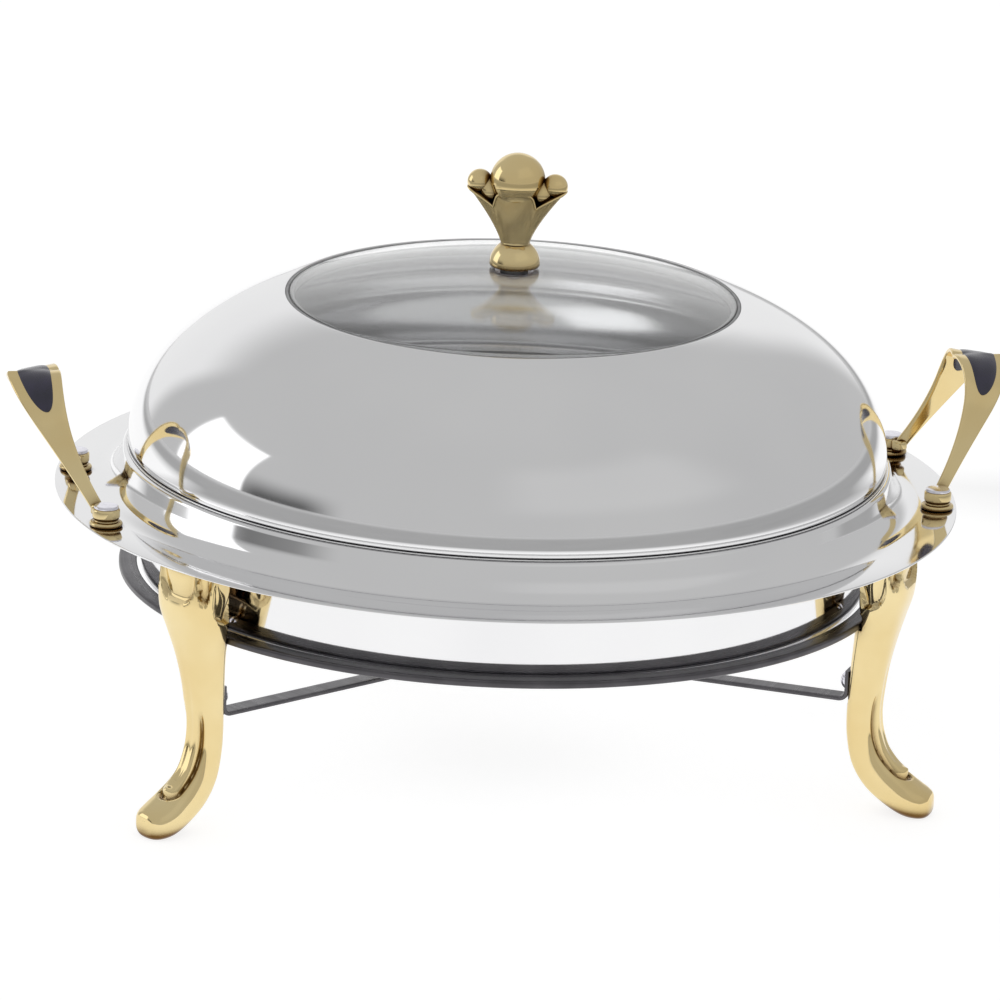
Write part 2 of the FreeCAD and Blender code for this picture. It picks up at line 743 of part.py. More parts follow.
def make_brace(angle):
    """Flat bar from the burner holder out to a leg, with its end bent up against the leg."""
    inner_end = HOLDER_WALL_RADIUS + HOLDER_BAR_GAP
    outer_mid = BAR_SEAT_RADIUS - BAR_THICKNESS / 2
    points = [at(inner_end, BAR_MID_Z), at(outer_mid, BAR_MID_Z), at(outer_mid, BAR_TAB_TOP_Z)]
    left = offset_path(points, [BAR_BEND_RADIUS], BAR_THICKNESS / 2)
    right = offset_path(points, [BAR_BEND_RADIUS], -BAR_THICKNESS / 2)
    caps = [
        Part.makeLine(left[-1].Vertexes[-1].Point, right[-1].Vertexes[-1].Point),
        Part.makeLine(right[0].Vertexes[0].Point, left[0].Vertexes[0].Point),
    ]
    side = Part.Face(Part.Wire(Part.__sortEdges__(left + right + caps)))
    side.translate(V(0, -BAR_WIDTH / 2, 0))
    bar = side.extrude(V(0, BAR_WIDTH, 0))
    screw_start = V(outer_mid - BAR_THICKNESS, 0, BRACE_SCREW_Z)
    screw_hole = Part.makeCylinder(BAR_HOLE_RADIUS, 2 * BAR_THICKNESS, screw_start, V(1, 0, 0))
    rivet_low = BAR_MID_Z - BAR_THICKNESS
    rivet_hole = disc(RIVET_HOLE_RADIUS, rivet_low, rivet_low + 2 * BAR_THICKNESS, (RIVET_PLACE, 0))
    return around(bar.cut(screw_hole).cut(rivet_hole), angle)


def make_brace_screws():
    under_head = BAR_SEAT_RADIUS - BAR_THICKNESS
    screws = []
    for angle in LEG_ANGLES.values():
        head = domed_head(*BRACE_SCREW_HEAD)
        head.rotate(CENTRE, V(0, 1, 0), -90)
        head.translate(V(under_head, 0, BRACE_SCREW_Z))
        shank_start = V(under_head - OVERLAP, 0, BRACE_SCREW_Z)
        shank = Part.makeCylinder(BRACE_SCREW_RADIUS, BRACE_SCREW_LENGTH, shank_start, V(1, 0, 0))
        screws.append(around(joined([head, shank]), angle))
    return group(screws)


def holder_rim_z():
    """Middle of the holder's rim, which lies on the brace bars."""
    return BAR_MID_Z + (BAR_THICKNESS + HOLDER_SHEET) / 2


def make_burner_holder():
    rim = holder_rim_z()
    floor_z = rim - HOLDER_DEPTH
    points = [
        at(HOLDER_HOLE_RADIUS, floor_z),
        at(HOLDER_WALL_RADIUS, floor_z),
        at(HOLDER_WALL_RADIUS, rim),
        at(HOLDER_RIM_RADIUS, rim),
    ]
    holder = pressed_sheet(points, HOLDER_CORNER_RADII, HOLDER_SHEET)
    for angle in LEG_ANGLES.values():
        place = polar(RIVET_PLACE, angle)
        holder = holder.cut(disc(RIVET_HOLE_RADIUS, rim - HOLDER_SHEET, rim + HOLDER_SHEET, place))
    return holder


def make_holder_rivets():
    top = holder_rim_z() + HOLDER_SHEET / 2
    bottom = BAR_MID_Z - BAR_THICKNESS / 2
    rivets = []
    for angle in LEG_ANGLES.values():
        place = V(*polar(RIVET_PLACE, angle), 0)
        upper = domed_head(*RIVET_HEAD)
        upper.translate(place + V(0, 0, top))
        lower = domed_head(*RIVET_HEAD)
        lower.rotate(CENTRE, V(1, 0, 0), 180)
        lower.translate(place + V(0, 0, bottom))
        shank = disc(RIVET_RADIUS, bottom - OVERLAP, top + OVERLAP, (place.x, place.y))
        rivets.append(joined([upper, shank, lower]))
    return group(rivets)


# ---- burner ----------------------------------------------------------------------------

def cup_floor_z():
    """Middle of the cup's floor, standing in the holder."""
    return holder_rim_z() - HOLDER_DEPTH + (HOLDER_SHEET + CUP_SHEET) / 2


def make_burner_cup():
    points = [
        at(0, cup_floor_z()),
        at(CUP_RADIUS, cup_floor_z()),
        at(CUP_RADIUS, cup_floor_z() + CUP_HEIGHT),
    ]
    return pressed_sheet(points, [CUP_CORNER_RADIUS], CUP_SHEET)


def make_burner_wick():
    low = cup_floor_z() + CUP_SHEET / 2
    wick = disc(CUP_RADIUS - CUP_SHEET / 2 - ASSEMBLY_GAP, low, low + WICK_HEIGHT)
    return wick.makeFillet(WICK_ROUNDING, [wick.Edges[2]])


def burner_top_z():
    """Middle of the burner's top plate, which closes the cup."""
    return cup_floor_z() + CUP_HEIGHT + CUP_SHEET / 2 + ASSEMBLY_GAP


def make_burner_top():
    skirt_radius = CUP_RADIUS + CUP_SHEET + RUNNING_FIT
    plate_z = burner_top_z()
    points = [
        at(FLAME_HOLE_RADIUS, plate_z),
        at(skirt_radius, plate_z),
        at(skirt_radius, plate_z - BURNER_SKIRT),
    ]
    top = pressed_sheet(points, [BURNER_SKIRT_CORNER], CUP_SHEET)
    hole = disc(COVER_PIVOT_HOLE_RADIUS, plate_z - CUP_SHEET, plate_z + CUP_SHEET, COVER_PIVOT_PLACE)
    return top.cut(hole)


def cover_low_z():
    return burner_top_z() + CUP_SHEET / 2 + ASSEMBLY_GAP


def make_cover_pivot():
    foot_radius, foot_height = COVER_PIVOT_FOOT
    head_radius, head_height = COVER_PIVOT_HEAD
    low = burner_top_z() - CUP_SHEET / 2
    head_low = cover_low_z() + COVER_SHEET + ASSEMBLY_GAP
    shank = disc(COVER_PIVOT_RADIUS, low - OVERLAP, head_low + OVERLAP, COVER_PIVOT_PLACE)
    foot = disc(foot_radius, low - foot_height, low, COVER_PIVOT_PLACE)
    head = disc(head_radius, head_low, head_low + head_height, COVER_PIVOT_PLACE)
    return joined([shank, foot, head])


def make_burner_cover():
    """Swivelling plate that covers the flame hole, with a turned-up tab to push it by."""
    low = cover_low_z()
    high = low + COVER_SHEET
    plate = disc(COVER_RADIUS, low, high)
    ear = disc(COVER_EAR_RADIUS, low, high, COVER_PIVOT_PLACE)
    bridge_corner = V(-COVER_EAR_RADIUS, 0, low)
    bridge = Part.makeBox(2 * COVER_EAR_RADIUS, COVER_PIVOT_PLACE[1], COVER_SHEET, bridge_corner)
    arm_corner = V(-COVER_ARM_WIDTH / 2, -COVER_TAB_REACH, low)
    arm = Part.makeBox(COVER_ARM_WIDTH, COVER_TAB_REACH, COVER_SHEET, arm_corner)
    tab = Part.makeBox(COVER_ARM_WIDTH, COVER_SHEET, COVER_TAB_HEIGHT, arm_corner)
    cover = joined([plate, ear, bridge, arm, tab])
    bore = COVER_PIVOT_RADIUS + RUNNING_FIT
    return cover.cut(disc(bore, low - CUT_PAST, high + CUT_PAST, COVER_PIVOT_PLACE))


# ---- all pieces ------------------------------------------------------------------------

def build_nodes():
    nodes = {
        "water_pan": make_water_pan(),
        "food_pan": make_food_pan(),
        "lid_shell": make_lid_shell(),
        "window_glass": make_window_glass(),
        "window_seal": make_window_seal(),
        "window_retainer": make_window_retainer(),
        "lid_knob": make_lid_knob(),
        "knob_seals": make_knob_seals(),
        "knob_washer": make_knob_washer(),
        "knob_screw": make_knob_screw(),
        "handle_feet": make_handle_feet(),
        "handle_screws": make_handle_screws(),
        "handle_nuts": make_handle_nuts(),
        "support_ring": make_support_ring(),
        "ring_screws": make_ring_screws(),
        "brace_screws": make_brace_screws(),
        "burner_holder": make_burner_holder(),
        "holder_rivets": make_holder_rivets(),
        "burner_cup": make_burner_cup(),
        "burner_wick": make_burner_wick(),
        "burner_top": make_burner_top(),
        "cover_pivot": make_cover_pivot(),
        "burner_cover": make_burner_cover(),
    }
    for name, side in (("left", -1), ("right", 1)):
        nodes["handle_" + name] = make_handle(side)
        nodes["grip_outer_" + name] = make_grip(side, 1)
        nodes["grip_inner_" + name] = make_grip(side, -1)
    blank = make_leg_blank()
    for name, angle in LEG_ANGLES.items():
        nodes["leg_" + name] = around(blank, angle)
        nodes["brace_" + name] = make_brace(angle)
    return nodes


def main():
    os.makedirs("parts", exist_ok=True)
    for name, shape in build_nodes().items():
        if not shape.isValid() or shape.Volume <= 0:
            print("CHECK", name, "valid", shape.isValid(), "volume", shape.Volume)
        box = shape.BoundBox
        span = f"z {box.ZMin:.1f} to {box.ZMax:.1f}"
        print(f"{name}: {len(shape.Solids)} solid(s), {shape.Volume:.0f} mm3, {span}")
        shape.exportStep("parts/" + name + ".step")


main()
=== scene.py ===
import math

import bmesh
import bpy
import numpy as np
from mathutils import Matrix, Vector


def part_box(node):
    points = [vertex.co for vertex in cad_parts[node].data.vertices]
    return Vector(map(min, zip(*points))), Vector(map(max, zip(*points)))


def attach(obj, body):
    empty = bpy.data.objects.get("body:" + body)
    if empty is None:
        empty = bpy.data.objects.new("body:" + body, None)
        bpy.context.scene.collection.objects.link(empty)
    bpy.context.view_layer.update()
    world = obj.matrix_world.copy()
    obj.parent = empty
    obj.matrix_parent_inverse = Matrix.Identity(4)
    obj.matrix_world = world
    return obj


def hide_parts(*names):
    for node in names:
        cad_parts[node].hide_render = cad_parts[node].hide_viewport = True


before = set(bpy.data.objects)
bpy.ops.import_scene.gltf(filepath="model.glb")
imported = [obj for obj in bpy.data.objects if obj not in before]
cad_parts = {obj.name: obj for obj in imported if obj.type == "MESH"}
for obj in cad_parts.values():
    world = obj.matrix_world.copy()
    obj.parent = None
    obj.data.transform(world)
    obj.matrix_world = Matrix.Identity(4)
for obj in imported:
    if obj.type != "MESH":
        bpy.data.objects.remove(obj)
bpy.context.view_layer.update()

# A round chafing dish: polished steel pans and lid, gold-plated legs, handles and knob.
# Lengths in this script are millimetres, in the frame's own axes, and become metres in add_mesh().

MM = 0.001


# ---- places taken from the frame ---------------------------------------------------------

def node_low(node):
    """Lowest corner of a node's box, in millimetres."""
    return Vector(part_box(node)[0]) / MM


def node_high(node):
    """Highest corner of a node's box, in millimetres."""
    return Vector(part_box(node)[1]) / MM


FLANGE_RADIUS = node_high("water_pan").x
PAN_UNDERSIDE = node_low("water_pan").z
PAN_LIP_TOP = node_high("water_pan").z
FOOD_UNDERSIDE = node_low("food_pan").z
LID_FOOT = node_low("lid_shell").z
GLASS_RADIUS = node_high("window_glass").x
GLASS_TOP = node_high("window_glass").z
KNOB_BASE = node_low("lid_knob").z
KNOB_TOP = node_high("lid_knob").z
RING_OUTER = node_high("support_ring").x
RING_LOW = node_low("support_ring").z
RING_HIGH = node_high("support_ring").z
FOOT_LOW = node_low("handle_feet").z
FOOT_HIGH = node_high("handle_feet").z
SCREW_TOP = node_high("handle_screws").z
SCREW_HEAD_HEIGHT = 1.4
DISC_TOP = SCREW_TOP - SCREW_HEAD_HEIGHT
FOOT_PLATE_RADIUS = 8.2
FOOT_X = node_high("handle_feet").x - FOOT_PLATE_RADIUS
FOOT_Y = node_high("handle_feet").y - FOOT_PLATE_RADIUS
HOLDER_LOW = node_low("burner_holder").z
HOLDER_RADIUS = node_high("burner_holder").x
CUP_LOW = node_low("burner_cup").z
CUP_HIGH = node_high("burner_cup").z
CUP_RADIUS = node_high("burner_cup").x
BURNER_TOP_HIGH = node_high("burner_top").z
BURNER_TOP_RADIUS = node_high("burner_top").x
WICK_LOW = node_low("burner_wick").z
WICK_HIGH = node_high("burner_wick").z
WICK_RADIUS = node_high("burner_wick").x

LEG_ANGLES = {"left": 210, "right": 330, "back": 90}

# ---- driving sizes of the pieces ---------------------------------------------------------

PAN_SHEET = 1.0
PAN_FLOOR_RADIUS = 180.5
PAN_LIP_RADII = (184.5, 190.8)
SHOULDER_FOOT_RADIUS = 194.5
FLANGE_DROP = 19.3
PAN_CORNER_RADII = [9, 2, 2, 15]
FOOD_SHEET = 0.8
FOOD_FLOOR_RADIUS = 172.0
FOOD_WALL_TOP_RADIUS = 180.0
FOOD_CORNER_RADII = [9, 2]

LID_RADIUS = 189.3
LID_BASE_RISE = 0.9
LID_SKIN_RISE = 2.3
LID_CROWN_HEIGHT = 93.4
LID_FULLNESS = 2.2
LID_HEM_RADII = (184.5, 188.6)
LID_HEM_HEIGHT = 4.0
LID_HEM_ROUND = 1.0
LID_SHEET = 1.0
WINDOW_EDGE_RADIUS = 114.0
WINDOW_LIP_DROP = 4.5
WINDOW_LIP_ROUND = 0.7
GLASS_THICKNESS = 3.5
GLASS_RISE = 16.0
GLASS_HOLE_RADIUS = 4.2
GLASS_EDGE_ROUND = 0.9
SEAL_WIDTH = 3.4
RETAINER_WIDTH = 4.4
RETAINER_SHEET = 1.0

# Knob: balls as radius, distance from the middle and height above the knob's base
KNOB_TURN = -20.0
KNOB_BALL_RADIUS = 12.6
KNOB_BALL_RISE = 1.0
KNOB_BALL_TOP_RADIUS = 6.8
KNOB_SCREW_HOLE = 3.1
KNOB_NECK_RADIUS = 7.0
KNOB_FLARE_RISE = (11.2, 39.6)
KNOB_CREASE = (10.6, 8.0)
KNOB_PANEL_DEPTH = 11.2
KNOB_PETAL_REACH = 24.5
KNOB_PETAL_BULGE = 8.4
KNOB_RIM_BEAD = 0.6
KNOB_CROWN_RADIUS = 13.8
KNOB_SIDE_BALL = (6.3, 18.8, 41.5)
KNOB_BRIDGE_BALL = (7.0, 12.5, 37.5)

HANDLE_LUG_PLACE = (212.0, 42.3)
HANDLE_LUG_RADIUS = 4.0
HANDLE_STRAP_Z = 146.0
HANDLE_APEX = (239.5, 204.3)
HANDLE_LEAN_EASING = 1.3
HANDLE_BOW_RADIUS = 30.0
HANDLE_STRAP = 2.2
HANDLE_WIDTHS = (6.0, 26.0)
HANDLE_WIDTH_EASING = 2.0
HANDLE_DISC_RADIUS = 6.8
DISC_ROUND = 1.1
SCREW_CAP_RADIUS = 6.1
SCREW_SHANK_RADIUS = 2.0
GRIP_HALF_LENGTH = 29.5
GRIP_WIDTH = 16.1
GRIP_RISE = 0.75
GRIP_SINK = 0.25

# Sections of a leg that points along +X, from the top down and out along the toe:
# radius and height of the middle, tilt of the section in degrees, depth and width.
LEG_SECTIONS = [
    (199.5, 139.0, 0, 24.0, 40.0),
    (200.0, 126.0, 0, 25.0, 42.0),
    (200.0, 112.0, 0, 24.0, 40.5),
    (197.6, 100.0, 0, 22.4, 34.0),
    (195.4, 88.0, 0, 20.3, 26.5),
    (193.3, 74.0, 0, 18.4, 21.5),
    (192.0, 60.0, 0, 17.4, 18.6),
    (191.4, 48.0, 0, 17.0, 17.4),
    (192.2, 38.0, 12, 17.4, 17.4),
    (195.2, 27.6, 30, 18.8, 18.4),
    (201.2, 19.2, 47, 19.4, 20.2),
    (209.6, 12.6, 60, 18.6, 22.0),
    (217.6, 8.2, 72, 17.4, 23.0),
    (224.2, 6.4, 84, 14.8, 20.0),
    (227.6, 6.4, 90, 11.0, 13.0),
    (228.6, 6.6, 90, 4.0, 5.0),
]
LEG_SQUARENESS = 2.6

# Cuts in the back of a leg: over the ledge for the support ring, where the cut slopes inward at
# its top, and lower down the flat seat for a brace's end
LEG_LEDGE_HEIGHTS = (96.0, 103.0, 118.0)
LEG_LEDGE_RADII = (192.2, 186.0)
LEG_SEAT_HEIGHTS = (54.3, 71.6)
LEG_SEAT_RADIUS = 184.0

# Scoops round the top of a leg: middle and half width in degrees, height of the lowest edge
LEG_SCOOPS = ((0, 31, 117.3), (51, 15, 119.0), (109, 36, 108.0))
LEG_SCOOP_DEPTH = 2.9

# Tongue on the instep, which stops short of the leg's end, with a groove round it and a scroll
TONGUE_HALF_WIDTH = 6.1
TONGUE_LENGTH = 52.0
TONGUE_STOP = 17.0
TONGUE_RISE = 1.0
TONGUE_GROOVE = (2.3, 1.25)
SCROLL_RISE = 1.5
SHIN_GROOVE = (0.45, 1.6)

# Stand and burner
RING_WIDTH = 9.0
RING_ROUND = 1.4
BRACE_THICKNESS = 2.2
BRACE_WIDTH = 10.5
BRACE_START = 38.5
BRACE_BEND = 4.0
HOLDER_SHEET = 1.0
HOLDER_HOLE = 8.0
HOLDER_WALL = 37.0
BURNER_SHEET = 0.8
FLAME_HOLE = 16.0
WICK_ROUND = 1.8


# ---- mesh helpers ------------------------------------------------------------------------

def add_mesh(name, vertices, faces, smooth_below=38):
    """Mesh object from millimetre vertices, smooth except over edges sharper than an angle."""
    mesh = bpy.data.meshes.new(name)
    mesh.from_pydata([tuple(c * MM for c in v) for v in vertices], [], faces)
    mesh.validate()
    fix = bmesh.new()
    fix.from_mesh(mesh)
    bmesh.ops.recalc_face_normals(fix, faces=fix.faces)
    fix.to_mesh(mesh)
    fix.free()
    mesh.shade_smooth()
    mesh.set_sharp_from_angle(angle=math.radians(smooth_below))
    piece = bpy.data.objects.new(name, mesh)
    bpy.context.collection.objects.link(piece)
    return piece


def unit(v):
    return v / np.linalg.norm(v)


def rounded_path(corners, radii, steps=7):
    """Points and left-hand normals along straight runs joined by tangent arcs."""
    corners = [np.array(c, float) for c in corners]
    runs = [unit(b - a) for a, b in zip(corners, corners[1:])]
    points = [corners[0]]
    normals = [np.array([-runs[0][1], runs[0][0]])]
    for corner, before, after, radius in zip(corners[1:-1], runs, runs[1:], radii):
        turn = math.acos(max(-1.0, min(1.0, before @ after)))
        left = before[0] * after[1] - before[1] * after[0] > 0
        start = corner - before * radius * math.tan(turn / 2)
        side = 1 if left else -1
        centre = start + side * radius * np.array([-before[1], before[0]])
        for step in range(steps + 1):
            angle = side * turn * step / steps
            c, s = math.cos(angle), math.sin(angle)
            heading = np.array([c * before[0] - s * before[1], s * before[0] + c * before[1]])
            normal = np.array([-heading[1], heading[0]])
            points.append(centre - side * radius * normal)
            normals.append(normal)
    points.append(corners[-1])
    normals.append(np.array([-runs[-1][1], runs[-1][0]]))
    return points, normals


def half_round(centre, start, heading, steps=5):
    """Points on a half circle from a start point about a centre, turning left or right."""
    spoke = np.array(start, float) - centre
    out = []
    for step in range(1, steps):
        angle = heading * math.pi * step / steps
        c, s = math.cos(angle), math.sin(angle)
        out.append(centre + np.array([c * spoke[0] - s * spoke[1], s * spoke[0] + c * spoke[1]]))
    return out


def sheet_outline(corners, radii, thickness, round_end=True):
    """Closed outline of a bent sheet about its mid-line, with a rounded free edge."""
    points, normals = rounded_path(corners, radii)
    half = thickness / 2
    left = [p + n * half for p, n in zip(points, normals)]
    right = [p - n * half for p, n in zip(points, normals)]
    end = half_round(points[-1], left[-1], -1) if round_end else []
    return left + end + right[::-1]


def lathe(name, outline, segments=192, smooth_below=38, centre=(0, 0)):
    """Closed outline of radius and height, turned about a vertical axis."""
    vertices = []
    rings = []
    for radius, z in outline:
        if radius < 1e-6:
            rings.append([len(vertices)] * segments)
            vertices.append((centre[0], centre[1], z))
            continue
        rings.append(list(range(len(vertices), len(vertices) + segments)))
        for k in range(segments):
            angle = 2 * math.pi * k / segments
            x = centre[0] + radius * math.cos(angle)
            y = centre[1] + radius * math.sin(angle)
            vertices.append((x, y, z))
    faces = []
    for low, high in zip(rings, rings[1:] + rings[:1]):
        for k in range(segments):
            n = (k + 1) % segments
            corners = list(dict.fromkeys([low[k], low[n], high[n], high[k]]))
            if len(corners) > 2:
                faces.append(corners)
    return add_mesh(name, vertices, faces, smooth_below)


def rounded_block(inner, outer, low, high, radius, steps=5):
    """Outline of a ring or disc with rounded corners. An inner radius of 0 makes a disc."""
    if inner > 0:
        centres = [(outer - radius, low + radius, -90), (outer - radius, high - radius, 0),
                   (inner + radius, high - radius, 90), (inner + radius, low + radius, 180)]
        points = []
    else:
        centres = [(outer - radius, low + radius, -90), (outer - radius, high - radius, 0)]
        points = [(0, low)]
    for r, z, first in centres:
        for step in range(steps + 1):
            angle = math.radians(first + 90 * step / steps)
            points.append((r + radius * math.cos(angle), z + radius * math.sin(angle)))
    if inner <= 0:
        points.append((0, high))
    return points


def loft(name, loops, smooth_below=38):
    """Closed skin through loops with the same number of points, capped at both ends."""
    count = len(loops[0])
    vertices = [tuple(p) for loop in loops for p in loop]
    faces = []
    for row in range(len(loops) - 1):
        for k in range(count):
            n = (k + 1) % count
            a, b = row * count, (row + 1) * count
            faces.append((a + k, a + n, b + n, b + k))
    faces.append(tuple(range(count)))
    faces.append(tuple(range((len(loops) - 1) * count, len(loops) * count)))
    return add_mesh(name, vertices, faces, smooth_below)


def join(name, pieces):
    """One object from several."""
    bpy.ops.object.select_all(action="DESELECT")
    for piece in pieces:
        piece.select_set(True)
    bpy.context.view_layer.objects.active = pieces[0]
    bpy.ops.object.join()
    pieces[0].name = name
    pieces[0].data.name = name
    return pieces[0]


def turn(piece, angle):
    """Turns a new piece's mesh about the dish's axis."""
    piece.data.transform(Matrix.Rotation(math.radians(angle), 4, "Z"))
    return piece


def smoothstep(low, high, value):
    t = np.clip((value - low) / (high - low), 0, 1)
    return t * t * (3 - 2 * t)


# ---- materials ---------------------------------------------------------------------------

def add_maths(nodes, links, operation, values):
    """Math node fed with numbers and sockets."""
    node = nodes.new("ShaderNodeMath")
    node.operation = operation
    for value, socket in zip(values, node.inputs):
        if isinstance(value, float):
            socket.default_value = value
        else:
            links.new(value, socket)
    return node.outputs[0]


class Paint:
    """A node material, with short calls for the nodes that the materials below share."""

    def __init__(self, name):
        self.material = bpy.data.materials.new(name)
        self.material.use_nodes = True
        self.nodes = self.material.node_tree.nodes
        self.links = self.material.node_tree.links
        self.shader = self.nodes["Principled BSDF"]
        self.place = self.nodes.new("ShaderNodeTexCoord").outputs["Object"]

    def set(self, **values):
        for key, value in values.items():
            self.shader.inputs[key.replace("_", " ")].default_value = value

    def noise(self, scale, detail=3.0, stretch=(1, 1, 1), source=None):
        mapping = self.nodes.new("ShaderNodeMapping")
        mapping.inputs["Scale"].default_value = stretch
        self.links.new(source or self.place, mapping.inputs["Vector"])
        noise = self.nodes.new("ShaderNodeTexNoise")
        noise.inputs["Scale"].default_value = scale
        noise.inputs["Detail"].default_value = detail
        self.links.new(mapping.outputs["Vector"], noise.inputs["Vector"])
        return noise.outputs["Fac"]

    def axis_radius(self):
        """Distance from the dish's axis and height, as a vector: rings round the dish follow it."""
        split = self.nodes.new("ShaderNodeSeparateXYZ")
        self.links.new(self.place, split.inputs[0])
        flat = self.nodes.new("ShaderNodeCombineXYZ")
        self.links.new(split.outputs["X"], flat.inputs["X"])
        self.links.new(split.outputs["Y"], flat.inputs["Y"])
        length = self.nodes.new("ShaderNodeVectorMath")
        length.operation = "LENGTH"
        self.links.new(flat.outputs[0], length.inputs[0])
        out = self.nodes.new("ShaderNodeCombineXYZ")
        self.links.new(length.outputs["Value"], out.inputs["X"])
        self.links.new(split.outputs["Z"], out.inputs["Y"])
        return out.outputs[0]

    def maths(self, operation, *values):
        return add_maths(self.nodes, self.links, operation, values)

    def ranged(self, value, low, high, from_low=0.3, from_high=0.7):
        node = self.nodes.new("ShaderNodeMapRange")
        node.inputs["From Min"].default_value = from_low
        node.inputs["From Max"].default_value = from_high
        node.inputs["To Min"].default_value = low
        node.inputs["To Max"].default_value = high
        self.links.new(value, node.inputs["Value"])
        return node.outputs["Result"]

    def colours(self, value, dark, light, low=0.3, high=0.7):
        ramp = self.nodes.new("ShaderNodeValToRGB")
        for element, position, colour in zip(ramp.color_ramp.elements, (low, high), (dark, light)):
            element.position = position
            element.color = (*colour, 1)
        self.links.new(value, ramp.inputs["Fac"])
        self.links.new(ramp.outputs["Color"], self.shader.inputs["Base Color"])
        return ramp.outputs["Color"]

    def paint_recess_shade(self, colour, shade_colour, reach, closed, open_share):
        """Mixes a dark colour into a colour as painted shade in hollows, found by how much lies within a
        reach in millimetres.
        """
        hidden = self.nodes.new("ShaderNodeAmbientOcclusion")
        hidden.samples = 8
        hidden.inputs["Distance"].default_value = reach * MM
        mix = self.nodes.new("ShaderNodeMix")
        mix.data_type = "RGBA"
        share = self.ranged(hidden.outputs["AO"], 0.0, 1.0, closed, open_share)
        self.links.new(share, mix.inputs["Factor"])
        mix.inputs["A"].default_value = (*shade_colour, 1)
        self.links.new(colour, mix.inputs["B"])
        self.links.new(mix.outputs["Result"], self.shader.inputs["Base Color"])

    def roughness(self, value, low, high):
        self.links.new(self.ranged(value, low, high), self.shader.inputs["Roughness"])

    def bump(self, *layers):
        """Stacked bumps, each a height, its depth in millimetres and its strength."""
        normal = None
        for height, depth, strength in layers:
            node = self.nodes.new("ShaderNodeBump")
            node.inputs["Distance"].default_value = depth * MM
            node.inputs["Strength"].default_value = strength
            self.links.new(height, node.inputs["Height"])
            if normal:
                self.links.new(normal, node.inputs["Normal"])
            normal = node.outputs["Normal"]
        self.links.new(normal, self.shader.inputs["Normal"])


def polished_steel():
    paint = Paint("polished_steel")
    paint.set(Metallic=1.0)
    colour = paint.colours(paint.noise(9, 2), (0.85, 0.85, 0.86), (0.90, 0.90, 0.905))
    # painted shade: dark grey mixed into the steel's colour in hollows and seams, such as the gap under the
    # lid's hem
    paint.paint_recess_shade(colour, (0.15, 0.145, 0.16), 7, 0.38, 0.72)
    paint.roughness(paint.noise(40, 4), 0.05, 0.09)
    rings = paint.noise(900, 2, source=paint.axis_radius())
    paint.bump((paint.noise(7, 1), 0.6, 0.05), (rings, 0.004, 0.10))
    return paint.material


def inside_steel():
    """The brushed inner faces of the food pan and the ring under the glass."""
    paint = Paint("brushed_inside_steel")
    paint.set(Metallic=1.0)
    colour = paint.colours(paint.noise(12, 2), (0.88, 0.88, 0.885), (0.93, 0.93, 0.935))
    # painted shade: dark grey mixed into the steel's colour in hollows
    paint.paint_recess_shade(colour, (0.15, 0.15, 0.16), 7, 0.38, 0.72)
    rings = paint.noise(700, 3, source=paint.axis_radius())
    paint.roughness(rings, 0.14, 0.25)
    paint.bump((rings, 0.01, 0.3))
    return paint.material


def stand_steel():
    paint = Paint("satin_stand_steel_painted_shade")
    paint.set(Metallic=1.0)
    # painted shade: the stand's colour is kept far darker than bare steel, standing for the shade under the
    # pans
    paint.colours(paint.noise(60, 4), (0.085, 0.082, 0.088), (0.125, 0.12, 0.128))
    grain = paint.noise(500, 4, source=paint.axis_radius())
    paint.roughness(grain, 0.24, 0.38)
    paint.bump((grain, 0.02, 0.3), (paint.noise(160, 3), 0.05, 0.12))
    return paint.material


def fastener_steel():
    paint = Paint("bright_fastener_steel")
    paint.set(Metallic=1.0)
    paint.colours(paint.noise(300, 3), (0.78, 0.77, 0.84), (0.90, 0.89, 0.96))
    paint.roughness(paint.noise(500, 3), 0.10, 0.20)
    paint.bump((paint.noise(900, 2), 0.01, 0.15))
    return paint.material


def gold_plate():
    paint = Paint("gold_plate")
    paint.set(Metallic=1.0)
    colour = paint.colours(paint.noise(22, 3), (0.80, 0.62, 0.30), (0.87, 0.72, 0.40))
    # painted shade: dark brown mixed into the gold in hollows, such as the legs' scoops and grooves and the
    # knob's dips
    paint.paint_recess_shade(colour, (0.16, 0.08, 0.02), 9, 0.50, 0.93)
    paint.roughness(paint.noise(90, 4), 0.06, 0.13)
    paint.bump((paint.noise(45, 2), 0.25, 0.10), (paint.noise(800, 2), 0.01, 0.10))
    return paint.material


def grip_resin():
    paint = Paint("grip_resin")
    paint.colours(paint.noise(120, 3), (0.008, 0.007, 0.024), (0.018, 0.014, 0.045))
    paint.roughness(paint.noise(200, 3), 0.22, 0.36)
    paint.set(Coat_Weight=0.5, Coat_Roughness=0.08)
    paint.bump((paint.noise(600, 2), 0.02, 0.12))
    return paint.material


def clear_glass():
    paint = Paint("clear_glass")
    paint.set(Transmission_Weight=1.0, IOR=1.5)
    paint.colours(paint.noise(8, 2), (0.955, 0.965, 0.965), (0.985, 0.99, 0.99))
    paint.roughness(paint.noise(60, 4), 0.0, 0.02)
    return paint.material


def soft_silicone():
    paint = Paint("soft_silicone")
    paint.colours(paint.noise(150, 3), (0.30, 0.30, 0.305), (0.42, 0.42, 0.425))
    paint.roughness(paint.noise(200, 3), 0.45, 0.65)
    paint.bump((paint.noise(900, 3), 0.03, 0.3))
    return paint.material


def burner_steel():
    paint = Paint("burner_steel")
    paint.set(Metallic=1.0)
    paint.colours(paint.noise(70, 3), (0.60, 0.60, 0.61), (0.74, 0.735, 0.73))
    rings = paint.noise(800, 3, source=paint.axis_radius())
    paint.roughness(rings, 0.18, 0.30)
    paint.bump((rings, 0.015, 0.25), (paint.noise(90, 3), 0.2, 0.10))
    return paint.material


